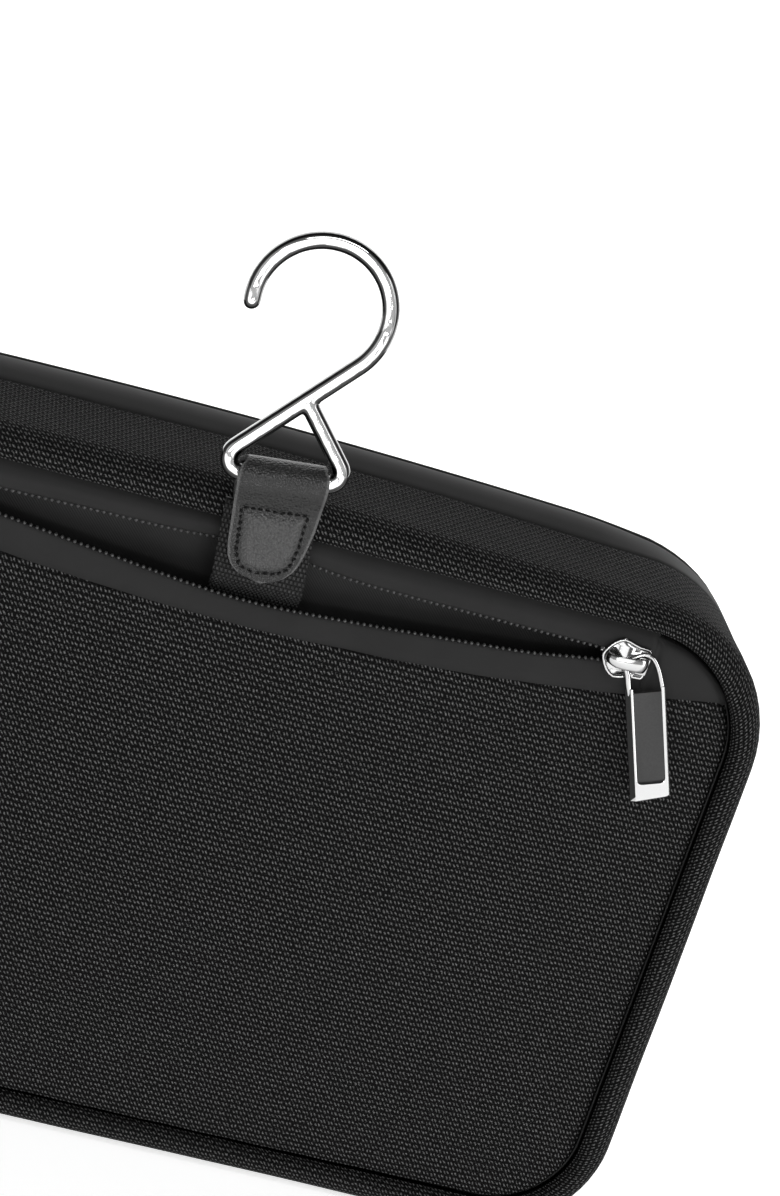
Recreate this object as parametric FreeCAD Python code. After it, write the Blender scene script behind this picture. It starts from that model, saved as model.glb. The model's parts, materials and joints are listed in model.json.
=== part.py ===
"""Hanging toiletry bag: a zipped two-shell fabric bag with a zipped front pocket, and a metal hook on a webbing strap.

Frame: X to the right, Y to the back, Z up, in millimetres. The front shell, with the pocket, faces -Y. Everything is
drawn with Y = 0 on the seam between the two shells, then moved by frame_shift so that the origin is the middle of the
object's underside.
"""
import math
import os

import FreeCAD
import Part

# Bag outline, seen from the front
bag_width = 303.0
bag_height = 201.0
top_corner_drop = 4.5       # the arched top falls by this much at its sharp corners
top_corner_radius = 40.0
base_corner_radius = 34.0

frame_shift = 11.9

# Depths, front to back
front_y = -58.0             # front of the padded border roll
gusset_back_y = -16.0       # back edge of the front gusset, where the zip tape starts
zip_gap = 1.0               # half the gap between the two rows of teeth
lid_zip_y = 15.0            # front edge of the lid's gusset
lid_back_y = 42.0
roll_radius = 8.9
fabric = 2.6                # padded fabric wall
panel_inset = 9.3           # from the gusset's outside to the front panel's edge
panel_bulge = 8.0
panel_edge_y = -55.0        # the panel's outside at its edge, down in the seam groove
tape = 1.2                  # zip tape
coil = 1.9                  # zip coil, square section
hinge_lift = 0.5            # the lid's hinge strip stays this far above the resting surface
zip_end_z = 24.0            # the main zip ends here, low on each side
parting = 0.25              # half the gap between the shells at the hinge

# Front pocket
track_z = 182.5             # line of the pocket zip
track_half = 112.0          # the zip's end covers start here
upper_lip_z = 183.4
lower_lip_sag = 11.6        # the open lower lip hangs down by this much in the middle
strip_low_z = 176.6         # lower edge of the lower tape at the covers
strip_low_sag = 11.8
strip_low_half = 136.0
tape_y = -57.0              # outside of the upper tape
pocket_back_y = -46.5

# Slider and puller, in the slider's own frame
slider_x = 104.8
slider_travel = 76.0
slider_nose = 7.0
slider_tail = 6.3
slider_wing = 5.3
slider_plate = 1.6
slider_gap = 4.4            # between the two plates
crown_height = 4.1
crown_wall = 1.35
crown_half_width = 1.35
wire_radius = 1.0
puller_width = 10.4
puller_plate_start = 8.0
puller_length = 40.2
puller_thickness = 1.7
puller_tilt = 21.3          # the pocket puller leans this far to the right
puller_lift = 4.0           # and its free end stands out from the panel
inlay_margin = 1.9
inlay_bottom = 34.2

# Main sliders
main_slider_z = 42.0
main_tunnel_y = 0.0

# Hook and strap
strap_width = 25.0
webbing = 1.5
leather = 1.4
strap_fold_z = 177.4
strap_x = -0.4              # middle of the strap at the hook's bar
strap_y = -60.9             # middle of the webbing
loop_radius = 4.9           # outside of the leather loop round the bar
bar_z = 207.5
bar_tilt = 6.5              # the hook's base bar rises to the right, and the strap leans with it
hook_lean = 5.6             # the hook leans back
hook_wire = 2.45
bar_clearance = 0.09
ring_radius = 18.1
ring_centre = (-3.3, 45.7)
bar_left = -20.8            # where the bar's line meets the stroke's
bar_right = 17.95
join_share = 0.664          # the leg joins this far up the stroke
tip_angle = 189.0
corner_radius_left = 3.4
corner_radius_right = 3.0

UP = FreeCAD.Vector(0, 0, 1)


def vec(x, y, z):
    return FreeCAD.Vector(x, y, z)


def box(x0, x1, y0, y1, z0, z1):
    return Part.makeBox(x1 - x0, y1 - y0, z1 - z0, vec(x0, y0, z0))


def block(inset, y0, y1):
    """The bag's outline, moved inwards by inset, as a solid from y0 to y1."""
    half = bag_width / 2 - inset
    top = bag_height - inset
    shoulder = top - top_corner_drop
    low = inset
    a, b = vec(-half, y0, low), vec(half, y0, low)
    c, d = vec(half, y0, shoulder), vec(-half, y0, shoulder)
    edges = [
        Part.LineSegment(a, b).toShape(),
        Part.LineSegment(b, c).toShape(),
        Part.Arc(c, vec(0, y0, top), d).toShape(),
        Part.LineSegment(d, a).toShape(),
    ]
    solid = Part.Face(Part.Wire(edges)).extrude(vec(0, y1 - y0, 0))
    along_y = [e for e in solid.Edges if abs(e.tangentAt(e.FirstParameter).y) > 0.99]
    upper = [e for e in along_y if e.CenterOfMass.z > bag_height / 2]
    solid = solid.makeFillet(max(top_corner_radius - inset, 4.0), upper)
    along_y = [e for e in solid.Edges if abs(e.tangentAt(e.FirstParameter).y) > 0.99]
    lower = [e for e in along_y if e.CenterOfMass.z < low + 0.5]
    return solid.makeFillet(max(base_corner_radius - inset, 4.0), lower)


def ring(inset_out, inset_in, y0, y1):
    return block(inset_out, y0, y1).cut(block(inset_in, y0 - 1, y1 + 1))


def rounded_block(y_flat, y_open, radius):
    """The whole outline, with its edge at y_flat rolled over."""
    low, high = min(y_flat, y_open), max(y_flat, y_open)
    solid = block(0, low, high)
    rim = [e for e in solid.Edges if abs(e.CenterOfMass.y - y_flat) < 1e-3]
    return solid.makeFillet(radius, rim)


def bulge_solid(depth, shift, back):
    """Everything between the bulged front surface, moved back by shift, and the plane y = back."""
    half_x, half_z = 147.0, 105.0
    columns, rows = 13, 11
    grid = []
    for i in range(columns):
        x = -170 + 340 * i / (columns - 1)
        line = []
        for j in range(rows):
            z = -15 + 230 * j / (rows - 1)
            across = 1 - (x / half_x) ** 2
            height = 1 - ((z - 100) / half_z) ** 2
            swell = depth * max(across, -0.3) * max(height, -0.3)
            if across < 0 and height < 0:
                swell = -abs(swell)
            line.append(vec(x, panel_edge_y - swell + shift, z))
        grid.append(line)
    surface = Part.BSplineSurface()
    surface.interpolate(grid)
    face = surface.toShape()
    solid = face.extrude(vec(0, 60, 0))
    if solid.Volume < 0:
        solid.reverse()
    return solid.common(box(-165, 165, -90, back, -10, 210))


def lip(half, sag, z_end, power=1.0):
    """Points of a sagging edge, from left to right."""
    points = []
    steps = 14
    for i in range(steps + 1):
        x = -half + 2 * half * i / steps
        points.append((x, z_end - sag * max(1 - (x / half) ** 2, 0.0) ** power))
    return points


def prism(points, y0, y1):
    """A solid over a closed list of (x, z) points."""
    wire = Part.makePolygon([vec(x, y0, z) for x, z in points + points[:1]])
    return Part.Face(wire).extrude(vec(0, y1 - y0, 0))


def lower_lip():
    return lip(track_half, lower_lip_sag, track_z, 1.15)


def panel_top():
    return lip(strip_low_half, strip_low_sag, strip_low_z)


def shift_z(points, dz):
    return [(x, z + dz) for x, z in points]


def front_shell():
    """Gusset, panel, pocket, lining and the front half of the main zip."""
    parts = {}
    gusset = rounded_block(front_y, gusset_back_y, roll_radius)
    gusset = gusset.cut(block(fabric, front_y + fabric, gusset_back_y + 1))
    parts["front_gusset"] = gusset.cut(block(panel_inset - 0.2, front_y - 1, front_y + 6))

    skin = bulge_solid(panel_bulge, 0, -40).cut(bulge_solid(panel_bulge, fabric, -39))
    skin = skin.common(block(panel_inset, -80, -40))
    wide = [(-170.0, strip_low_z)] + panel_top() + [(170.0, strip_low_z)]
    below = prism([(-170.0, -5.0), (170.0, -5.0)] + list(reversed(wide)), -80, -40)
    parts["front_panel"] = skin.common(below)

    thin = bulge_solid(panel_bulge, 0, -40).cut(bulge_solid(panel_bulge, tape, -39))
    half = track_half - 0.15
    lower = [p for p in lower_lip() if abs(p[0]) <= half]
    lower = [(-half, track_z)] + [p for p in lower if abs(p[0]) < half - 1] + [(half, track_z)]
    under = [(-half, strip_z(half))] + [p for p in panel_top() if abs(p[0]) < half - 1]
    under = shift_z(under + [(half, strip_z(half))], 0.15)
    parts["pocket_tape_lower"] = thin.common(prism(under + list(reversed(lower)), -80, -40))

    inner = block(panel_inset, -80, -40)
    upper = box(-half, half, tape_y, tape_y + tape, upper_lip_z, 200)
    parts["pocket_tape_upper"] = upper.common(inner)

    covers = []
    for side in (-1, 1):
        x0, x1 = sorted((side * (track_half + 0.1), side * 160.0))
        piece = box(x0, x1, -80, -40, strip_low_z, 200).cut(below)
        covers.append(thin.common(inner).common(piece))
    parts["pocket_end_cover_left"], parts["pocket_end_cover_right"] = covers

    parts["pocket_teeth_upper"] = box(
        -half, half, tape_y + tape + 0.05, tape_y + tape + 0.05 + coil, upper_lip_z, upper_lip_z + coil
    )
    behind = bulge_solid(panel_bulge, tape + 0.05, -40)
    behind = behind.cut(bulge_solid(panel_bulge, tape + 0.05 + coil, -39))
    row = prism(shift_z(lower, -coil) + list(reversed(lower)), -80, -40)
    parts["pocket_teeth_lower"] = behind.common(row)

    pan = block(panel_inset + 2, panel_edge_y + fabric + 1.1, pocket_back_y + 1)
    parts["pocket_lining"] = pan.cut(
        block(panel_inset + 3.2, panel_edge_y - 1, pocket_back_y - 0.2)
    )
    tray = block(fabric + 0.3, pocket_back_y + 1.1, -7.5)
    parts["front_lining"] = tray.cut(block(fabric + 1.4, pocket_back_y + 2.2, 0))

    above = box(-170, 170, -80, 60, zip_end_z, 220)
    below_zip = box(-170, 170, -80, 60, -5, zip_end_z - 0.15)
    band = ring(0.0, tape, gusset_back_y + 0.1, -zip_gap)
    parts["main_tape_front"] = band.common(above)
    teeth = ring(tape + 0.05, tape + 0.05 + coil, -zip_gap - 2.2, -zip_gap)
    parts["main_teeth_front"] = teeth.common(above)
    strip = ring(0.0, 1.6, gusset_back_y + 0.1, -parting)
    parts["hinge_strip_front"] = strip.common(below_zip)
    parts["strap_anchor"] = strap_anchor()
    return parts


def strip_z(x):
    """Height of the front panel's top edge at x."""
    return strip_low_z - strip_low_sag * (1 - (x / strip_low_half) ** 2)


def strap_anchor():
    """Webbing below the fold: it slants back through the open zip, then runs down inside the pocket."""
    centre = [(strap_y, strap_fold_z - 0.9), (-54.7, 172.0), (-51.0, 160.0), (-51.0, 134.0)]
    front = [(y - webbing / 2, z) for y, z in centre]
    back = [(y + webbing / 2, z) for y, z in centre]
    left = strap_x + (bar_z - strap_fold_z) * math.tan(math.radians(bar_tilt)) - strap_width / 2
    loop = [vec(left, y, z) for y, z in front + list(reversed(back))]
    wire = Part.makePolygon(loop + loop[:1])
    return Part.Face(wire).extrude(vec(strap_width, 0, 0))


def lid_shell():
    """The back half: lid gusset and panel in one domed shape, its lining and its half of the main zip."""
    def dome(inset):
        levels = [
            (lid_zip_y, 3.5 + inset),
            (24.0, 5.6 + inset),
            (33.0, 9.6 + inset),
            (lid_back_y - inset, 20.0 + inset * 0.6),
        ]
        wires = []
        for y, off in levels:
            face = [f for f in block(off, y, y + 1).Faces if abs(f.CenterOfMass.y - y) < 1e-3][0]
            wires.append(face.OuterWire)
        return Part.makeLoft(wires, True, False)

    parts = {}
    outer = dome(0.0)
    inner = dome(fabric).fuse(block(3.5 + fabric, lid_zip_y - 1, lid_zip_y + 0.2))
    shell = outer.cut(inner)
    back = block(22.5, lid_back_y - fabric - 2, lid_back_y + 2)
    parts["lid_gusset"] = shell.cut(back)
    parts["lid_panel"] = block(22.7, lid_back_y - fabric, lid_back_y)
    hollow = dome(fabric + 1.4).fuse(block(3.5 + fabric + 1.4, lid_zip_y - 1, lid_zip_y + 0.2))
    parts["lid_lining"] = dome(fabric + 0.2).cut(hollow)

    above = box(-170, 170, -80, 60, zip_end_z, 220)
    below_zip = box(-170, 170, -80, 60, -5, zip_end_z - 0.15)
    band = taper_ring(0.0, 3.3, zip_gap, lid_zip_y - 0.1, tape)
    parts["main_tape_lid"] = band.common(above)
    teeth = ring(tape + 0.6, tape + 0.6 + coil, zip_gap, zip_gap + 2.2)
    parts["main_teeth_lid"] = teeth.common(above)
    strip = taper_ring(hinge_lift, 3.3, parting, lid_zip_y - 0.1, 1.6)
    parts["hinge_strip_lid"] = strip.common(below_zip)
    return parts


def taper_ring(inset_front, inset_back, y0, y1, wall):
    """A thin band whose outline shrinks from y0 to y1."""
    def outline(inset, y):
        face = [f for f in block(inset, y, y + 1).Faces if abs(f.CenterOfMass.y - y) < 1e-3][0]
        return face.OuterWire

    run = (inset_back - inset_front) / (y1 - y0)
    outer = Part.makeLoft([outline(inset_front, y0), outline(inset_back, y1)], True, True)
    low = [outline(inset_front + wall - run, y0 - 1), outline(inset_back + wall + run, y1 + 1)]
    return outer.cut(Part.makeLoft(low, True, True))


def tube(points, radius):
    """Round wire through points, with a ball at each."""
    solid = None
    for a, b in zip(points, points[1:]):
        piece = Part.makeCylinder(radius, (b - a).Length, a, b - a)
        solid = piece if solid is None else solid.fuse(piece)
    for p in points[1:-1]:
        solid = solid.fuse(Part.makeSphere(radius, p))
    return solid.removeSplitter()


# The slider's own frame: local x runs from nose (-) to tail (+), local -y is outwards, and y = 0 is the
# front plate's outer face. Each is placed with a matrix.
def slider_body():
    outline = [
        (-slider_nose, 0.0), (-6.2, 2.2), (-4.2, 4.5), (-2.0, slider_wing), (1.5, 4.6),
        (slider_tail - 0.6, 4.0), (slider_tail, 3.2),
    ]
    mirrored = [(x, -z) for x, z in reversed(outline[1:])]
    plate = prism(outline + mirrored, 0, slider_plate)
    front = [e for e in plate.Edges if abs(e.CenterOfMass.y) < 1e-3]
    plate = plate.makeChamfer(0.45, front)
    low = slider_plate + slider_gap
    back = prism([(x * 0.9, z * 0.9) for x, z in outline + mirrored], low, low + 1.2)
    post = box(-slider_nose + 1.0, -slider_nose + 3.4, slider_plate - 0.1, low + 0.1, -0.7, 0.7)
    return plate.fuse(back).fuse(post).removeSplitter()


def slider_crown():
    """The bridge on the slider that holds the puller's wire."""
    base, top = 4.9, 3.6
    outer = [(-base + 0.6, 0.0), (-top, -crown_height), (top + 0.6, -crown_height), (base + 0.8, 0.0)]
    hole = [(-2.5, 0.1), (-2.5, crown_wall - crown_height), (3.1, crown_wall - crown_height), (3.1, 0.1)]
    wires = []
    for points in (outer, hole):
        loop = [vec(x, y, -crown_half_width) for x, y in points]
        wires.append(Part.Face(Part.makePolygon(loop + loop[:1])))
    arch = wires[0].extrude(vec(0, 0, 2 * crown_half_width))
    arch = arch.cut(wires[1].extrude(vec(0, 0, 2 * crown_half_width)))
    rim = [e for e in arch.Edges if abs(e.CenterOfMass.y + crown_height) < 1e-3]
    return arch.makeFillet(0.5, rim)


def puller_frame(side_leg):
    """Puller in its own frame: the wire in the slider's tunnel is at the origin. Its plate hangs along -z.

    side_leg is True when the left leg goes through the tunnel, and False when the loop's top bar does."""
    step = puller_width - 2 * wire_radius
    if side_leg:
        left, right = 0.0, step
        turn = math.radians(29.0)
        rise = vec(math.sin(turn), 0, math.cos(turn)) * 2.2
        loop = [
            vec(left, 0, -puller_plate_start - 1), vec(0, 0, -3.6), rise * -1.05,
            rise, rise + vec(1.0, 0, 0.75), vec(4.6, 0, 2.6), vec(6.6, 0, 1.7), vec(7.9, 0, -0.2),
            vec(right, 0, -2.6), vec(right, 0, -puller_plate_start - 1),
        ]
    else:
        left, right = -step / 2, step / 2
        loop = [
            vec(left, 0, -puller_plate_start - 1), vec(left, 0, -1.4), vec(left + 1.4, 0, 0),
            vec(right - 1.4, 0, 0), vec(right, 0, -1.4), vec(right, 0, -puller_plate_start - 1),
        ]
    x0, x1 = left - wire_radius, right + wire_radius
    half = puller_thickness / 2
    plate = box(x0, x1, -half, half, -puller_length, -puller_plate_start)
    plate = plate.cut(inlay_solid(x0, x1, 0.0))
    corners = [e for e in plate.Edges if e.CenterOfMass.z < -puller_length + 0.1
               and abs(e.tangentAt(e.FirstParameter).y) > 0.99]
    plate = plate.makeFillet(1.4, corners)
    return tube(loop, wire_radius).fuse(plate).removeSplitter(), inlay_solid(x0, x1, 0.25)


def inlay_solid(x0, x1, recess):
    half = puller_thickness / 2 - recess
    piece = box(x0 + inlay_margin, x1 - inlay_margin, -half, half, -inlay_bottom, -puller_plate_start - 1.2)
    if recess == 0.0:
        piece = box(x0 + inlay_margin, x1 - inlay_margin, -half - 1, half + 1, -inlay_bottom,
                    -puller_plate_start - 1.2)
    lower = [e for e in piece.Edges if e.CenterOfMass.z < -inlay_bottom + 0.1
             and abs(e.tangentAt(e.FirstParameter).y) > 0.99]
    return piece.makeFillet(1.6, lower)


def placed(shape, x_axis, out, origin):
    """Moves a shape from its own frame: local +x to x_axis, local -y to out, local origin to origin."""
    y_axis = out * -1
    z_axis = x_axis.cross(y_axis)
    m = FreeCAD.Matrix(
        x_axis.x, y_axis.x, z_axis.x, origin.x,
        x_axis.y, y_axis.y, z_axis.y, origin.y,
        x_axis.z, y_axis.z, z_axis.z, origin.z,
        0, 0, 0, 1,
    )
    return shape.transformed(m)


tunnel_depth = (crown_height - crown_wall) / 2


def pocket_slider():
    face = vec(slider_x, tape_y - 0.45 - slider_plate, track_z - 0.2)
    right, out = vec(1, 0, 0), vec(0, -1, 0)
    parts = {
        "pocket_slider": placed(slider_body(), right, out, face),
        "pocket_slider_crown": placed(slider_crown(), right, out, face),
    }
    frame, inlay = puller_frame(True)
    tunnel = face + out * tunnel_depth
    lean = math.radians(puller_tilt)
    along = vec(math.cos(lean), 0, math.sin(lean))
    lift = math.radians(puller_lift)
    away = out * math.cos(lift) + vec(-math.sin(lean), 0, math.cos(lean)) * math.sin(lift)
    parts["pocket_puller_frame"] = placed(frame, along, away, tunnel)
    parts["pocket_puller_inlay"] = placed(inlay, along, away, tunnel)
    return parts


def main_slider(side, label):
    """A slider low on one side of the main zip. The closed teeth are above it, so its nose points down."""
    out = vec(side, 0, 0)
    face = vec(side * (bag_width / 2 + 0.4 + slider_plate), 0, main_slider_z)
    parts = {
        "main_slider_" + label: placed(slider_body(), UP, out, face),
        "main_slider_crown_" + label: placed(slider_crown(), UP, out, face),
    }
    frame, inlay = puller_frame(False)
    tunnel = face + out * tunnel_depth
    across = out.cross(UP) * -1
    parts["main_puller_frame_" + label] = placed(frame, across, out, tunnel)
    parts["main_puller_inlay_" + label] = placed(inlay, across, out, tunnel)
    return parts


def tilt_about_bar(shape):
    """Leans a shape made with the bar along X, so that the bar rises to the right."""
    turned = shape.copy()
    turned.rotate(vec(0, strap_y, bar_z), vec(0, -1, 0), bar_tilt)
    return turned


def strap_parts():
    """Webbing above the fold, and the leather tab that holds the hook's base bar."""
    neck = -8.5
    flap = webbing / 2 + 0.05
    inner = hook_wire + bar_clearance
    web = box(strap_x - strap_width / 2, strap_x + strap_width / 2, strap_y - webbing / 2, strap_y + webbing / 2,
              bar_z - 45, bar_z + neck - 0.2)
    web = tilt_about_bar(web).common(box(-40, 40, -90, -40, strap_fold_z + 0.3, 230))

    def slab(points):
        turned = [vec(-20, strap_y + y, bar_z + z) for y, z in points]
        return Part.Face(Part.makePolygon(turned + turned[:1])).extrude(vec(40, 0, 0))

    def rod(radius):
        return Part.makeCylinder(radius, 40, vec(-20, strap_y, bar_z), vec(1, 0, 0))

    outer = flap + leather
    solid = rod(loop_radius)
    solid = solid.fuse(slab([(-loop_radius, 0), (loop_radius, 0), (outer, neck), (-outer, neck)]))
    solid = solid.fuse(slab([(-outer, neck + 0.01), (outer, neck + 0.01), (outer, -31.0), (-outer, -31.0)]))
    hollow = rod(inner).fuse(slab([(-flap, -2.0), (flap, -2.0), (flap, -33.0), (-flap, -33.0)]))
    solid = solid.cut(hollow)
    outline = [(-9.6, 6.0), (-11.5, 2.5), (-11.5, -4.5), (-11.2, -15.0), (-9.6, -23.0), (-5.4, -28.9),
               (5.4, -28.9), (9.6, -23.0), (11.2, -15.0), (11.5, -4.5), (11.5, 0.0), (9.6, 6.0)]
    cutter = prism([(strap_x + x, bar_z + z) for x, z in outline], strap_y - 8, strap_y + 8)
    low = [e for e in cutter.Edges if abs(e.tangentAt(e.FirstParameter).y) > 0.99
           and e.CenterOfMass.z < bar_z - 20]
    cutter = cutter.makeFillet(3.0, low)
    tab = tilt_about_bar(solid.common(cutter))

    front = strap_y - outer - 0.05
    corners = [(-9.0, -9.0), (9.0, -9.0), (7.0, -24.4), (0.0, -26.4), (-7.0, -24.4)]
    stitches = []
    for (xa, za), (xb, zb) in zip(corners, corners[1:] + corners[:1]):
        run = math.hypot(xb - xa, zb - za)
        count = max(int(run / 2.2), 2)
        for k in range(count):
            a = (k + 0.15) / count
            b = (k + 0.85) / count
            start = vec(strap_x + xa + (xb - xa) * a, front, bar_z + za + (zb - za) * a)
            end = vec(strap_x + xa + (xb - xa) * b, front, bar_z + za + (zb - za) * b)
            stitches.append(Part.makeCylinder(0.22, (end - start).Length, start, end - start))
    thread = tilt_about_bar(Part.makeCompound(stitches)).cut(tab)
    return {"strap_webbing": web, "leather_tab": tab, "tab_stitching": thread}


def hook():
    """The hook's wire, in a plane that leans back a little. Local x and v run along the bar and up the hook."""
    tilt = math.radians(bar_tilt)

    def point(x, v):
        return vec(x, strap_y, bar_z + v)

    left = (bar_left, bar_left * math.tan(tilt))
    right = (bar_right, bar_right * math.tan(tilt))
    dx, dv = ring_centre[0] - left[0], ring_centre[1] - left[1]
    reach = math.hypot(dx, dv)
    slope = math.atan2(dv, dx) - math.asin(ring_radius / reach)
    length = math.sqrt(reach ** 2 - ring_radius ** 2)
    touch = (left[0] + length * math.cos(slope), left[1] + length * math.sin(slope))
    end_angle = math.atan2(touch[1] - ring_centre[1], touch[0] - ring_centre[0])

    def on_ring(angle):
        return point(ring_centre[0] + ring_radius * math.cos(angle), ring_centre[1] + ring_radius * math.sin(angle))

    start = math.radians(tip_angle)
    arc = Part.Arc(on_ring(start), on_ring((start + end_angle) / 2), on_ring(end_angle)).toShape()
    run = join_share * length
    join = (left[0] + run * math.cos(slope), left[1] + run * math.sin(slope))

    def bend(corner, before, after, radius):
        """Arc that rounds a corner, with its two tangent points."""
        a = vec(before[0] - corner[0], 0, before[1] - corner[1]).normalize()
        b = vec(after[0] - corner[0], 0, after[1] - corner[1]).normalize()
        half_turn = a.getAngle(b) / 2
        reach_out = radius / math.tan(half_turn)
        middle = (a + b).normalize()
        c = point(*corner)
        centre = c + middle * (radius / math.sin(half_turn))
        return c + a * reach_out, centre - middle * radius, c + b * reach_out

    l_in, l_mid, l_out = bend(left, touch, right, corner_radius_left)
    r_in, r_mid, r_out = bend(right, left, join, corner_radius_right)
    path = Part.Wire([
        arc,
        Part.LineSegment(point(*touch), l_in).toShape(),
        Part.Arc(l_in, l_mid, l_out).toShape(),
        Part.LineSegment(l_out, r_in).toShape(),
        Part.Arc(r_in, r_mid, r_out).toShape(),
    ])
    tangent = vec(-math.sin(start), 0, math.cos(start)) * -1
    section = Part.Wire(Part.Circle(on_ring(start), tangent, hook_wire).toShape())
    wire = path.makePipeShell([section], True, True)
    leg = Part.makeCylinder(hook_wire, (point(*join) - r_out).Length, r_out, point(*join) - r_out)
    solid = wire.fuse(leg).fuse(Part.makeSphere(hook_wire, on_ring(start))).removeSplitter()
    lean_axis = vec(math.cos(tilt), 0, math.sin(tilt))
    solid.rotate(vec(0, strap_y, bar_z), lean_axis, -hook_lean)
    return {"hook": solid}


def main():
    os.makedirs("parts", exist_ok=True)
    parts = {}
    parts.update(front_shell())
    parts.update(lid_shell())
    parts.update(pocket_slider())
    parts.update(main_slider(-1, "left"))
    parts.update(main_slider(1, "right"))
    parts.update(strap_parts())
    parts.update(hook())
    for name, shape in parts.items():
        solids = shape.Solids
        print(name, "solids", len(solids), "volume", round(shape.Volume / 1000, 2), "valid", shape.isValid())
        shape.translate(vec(0, frame_shift, 0))
        shape.exportStep("parts/" + name + ".step")


main()
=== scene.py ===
import json
import math

import bpy
from mathutils import Matrix, Vector, noise


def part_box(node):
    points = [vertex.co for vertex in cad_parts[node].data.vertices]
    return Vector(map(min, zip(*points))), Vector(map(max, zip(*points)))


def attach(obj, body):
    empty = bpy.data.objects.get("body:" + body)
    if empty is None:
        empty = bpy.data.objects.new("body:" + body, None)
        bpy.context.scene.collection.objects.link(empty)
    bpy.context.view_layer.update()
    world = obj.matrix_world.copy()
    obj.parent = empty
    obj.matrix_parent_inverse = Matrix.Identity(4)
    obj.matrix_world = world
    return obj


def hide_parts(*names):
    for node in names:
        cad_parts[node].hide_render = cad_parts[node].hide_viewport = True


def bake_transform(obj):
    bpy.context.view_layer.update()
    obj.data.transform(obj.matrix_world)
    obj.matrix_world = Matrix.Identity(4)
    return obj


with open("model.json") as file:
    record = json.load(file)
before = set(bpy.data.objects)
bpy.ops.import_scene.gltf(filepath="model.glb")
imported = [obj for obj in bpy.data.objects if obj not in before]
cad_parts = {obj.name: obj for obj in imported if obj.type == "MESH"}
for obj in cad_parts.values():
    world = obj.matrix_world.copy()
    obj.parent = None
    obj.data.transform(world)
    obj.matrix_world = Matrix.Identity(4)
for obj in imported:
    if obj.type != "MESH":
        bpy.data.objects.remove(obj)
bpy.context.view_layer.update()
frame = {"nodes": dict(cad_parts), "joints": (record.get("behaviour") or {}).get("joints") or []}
jointAt = {j["name"]: j for j in frame["joints"]}
mm = 0.001
print("frame loaded")

# the bag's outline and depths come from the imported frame
gussetLow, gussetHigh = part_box("front_gusset")
seamY = jointAt["lid_hinge"]["pos_m"][1]      # plane where the two halves meet
halfWidth = gussetHigh.x
topZ = gussetHigh.z
frontY = gussetLow.y

outline = {"archDrop": 4.5 * mm, "topCorner": 40 * mm, "baseCorner": 34 * mm, "cornerSteps": 14, "edgeStep": 6.5 * mm}
grooveLine = {"inset": 8.6 * mm, "top": topZ - 10.0 * mm, "corner": 33 * mm}


def deselectAll():
    if bpy.context.object and bpy.context.object.mode != "OBJECT":
        bpy.ops.object.mode_set(mode="OBJECT")
    bpy.ops.object.select_all(action="DESELECT")


def pick(obj):
    deselectAll()
    obj.select_set(True)
    bpy.context.view_layer.objects.active = obj
    return obj


def archZ(x):
    return topZ - outline["archDrop"] * (x / (halfWidth - 1 * mm)) ** 2


def walkOutline():
    # points of the outer outline with their outward directions, from the middle of the base round to the right
    rt, rb, n = outline["topCorner"], outline["baseCorner"], outline["cornerSteps"]
    cx, cz = halfWidth - rt, archZ(halfWidth - rt) - rt
    bx = halfWidth - rb
    pts = []
    steps = int(bx / outline["edgeStep"])
    pts += [(bx * i / steps, 0.0, 0.0, -1.0) for i in range(steps)]
    for i in range(n):
        a = -math.pi / 2 + math.pi / 2 * i / n
        pts.append((bx + rb * math.cos(a), rb + rb * math.sin(a), math.cos(a), math.sin(a)))
    steps = int((cz - rb) / outline["edgeStep"])
    pts += [(halfWidth, rb + (cz - rb) * i / steps, 1.0, 0.0) for i in range(steps)]
    for i in range(n):
        a = math.pi / 2 * i / n
        pts.append((cx + rt * math.cos(a), cz + rt * math.sin(a), math.cos(a), math.sin(a)))
    steps = int(cx / outline["edgeStep"])
    for i in range(steps):
        x = cx * (1 - i / steps)
        slope = 2 * outline["archDrop"] * x / (halfWidth - 1 * mm) ** 2
        run = math.hypot(1, slope)
        pts.append((x, archZ(x), slope / run, 1 / run))
    pts.append((0.0, topZ, 0.0, 1.0))
    left = [(-x, z, -nx, nz) for x, z, nx, nz in reversed(pts[1:-1])]
    pts += left
    return pts + pts[:1]


def walkGroove(points):
    # the seam groove has a straight top and rounder upper corners, so each outline point gets its own place on it
    inset, top, r = grooveLine["inset"], grooveLine["top"], grooveLine["corner"]
    side = halfWidth - inset
    rb = outline["baseCorner"] - inset
    cx, cz = side - r, top - r
    bx = halfWidth - outline["baseCorner"]
    cornerZ = archZ(halfWidth - outline["topCorner"]) - outline["topCorner"]
    places = []
    for x, z, nx, nz in points:
        sign = 1 if x >= 0 else -1
        if nz > 0.02 or (nz > 0 and nx == 0):
            angle = math.atan2(nz, abs(nx))
            ocx = halfWidth - outline["topCorner"]
            if abs(x) >= ocx - 1e-6:
                places.append((sign * (cx + r * math.cos(angle)), cz + r * math.sin(angle)))
            else:
                share = abs(x) / ocx
                end = math.atan2(1, 2 * outline["archDrop"] * ocx / halfWidth ** 2)
                places.append((sign * share * (cx + r * math.cos(end)), top - (1 - math.sin(end)) * r * share ** 8))
        elif nz < -0.001 and abs(nx) > 0.001:
            angle = math.atan2(nz, abs(nx))
            places.append((sign * (bx + rb * math.cos(angle)), outline["baseCorner"] + rb * math.sin(angle)))
        elif nz < 0:
            places.append((x, inset))
        else:
            share = (z - outline["baseCorner"]) / (cornerZ - outline["baseCorner"])
            places.append((sign * side, outline["baseCorner"] + share * (cz - outline["baseCorner"])))
    return places


outerLine = walkOutline()
innerLine = walkGroove(outerLine)
lineLength = [0.0]
for a, b in zip(outerLine, outerLine[1:]):
    lineLength.append(lineLength[-1] + math.hypot(b[0] - a[0], b[1] - a[1]))


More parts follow.
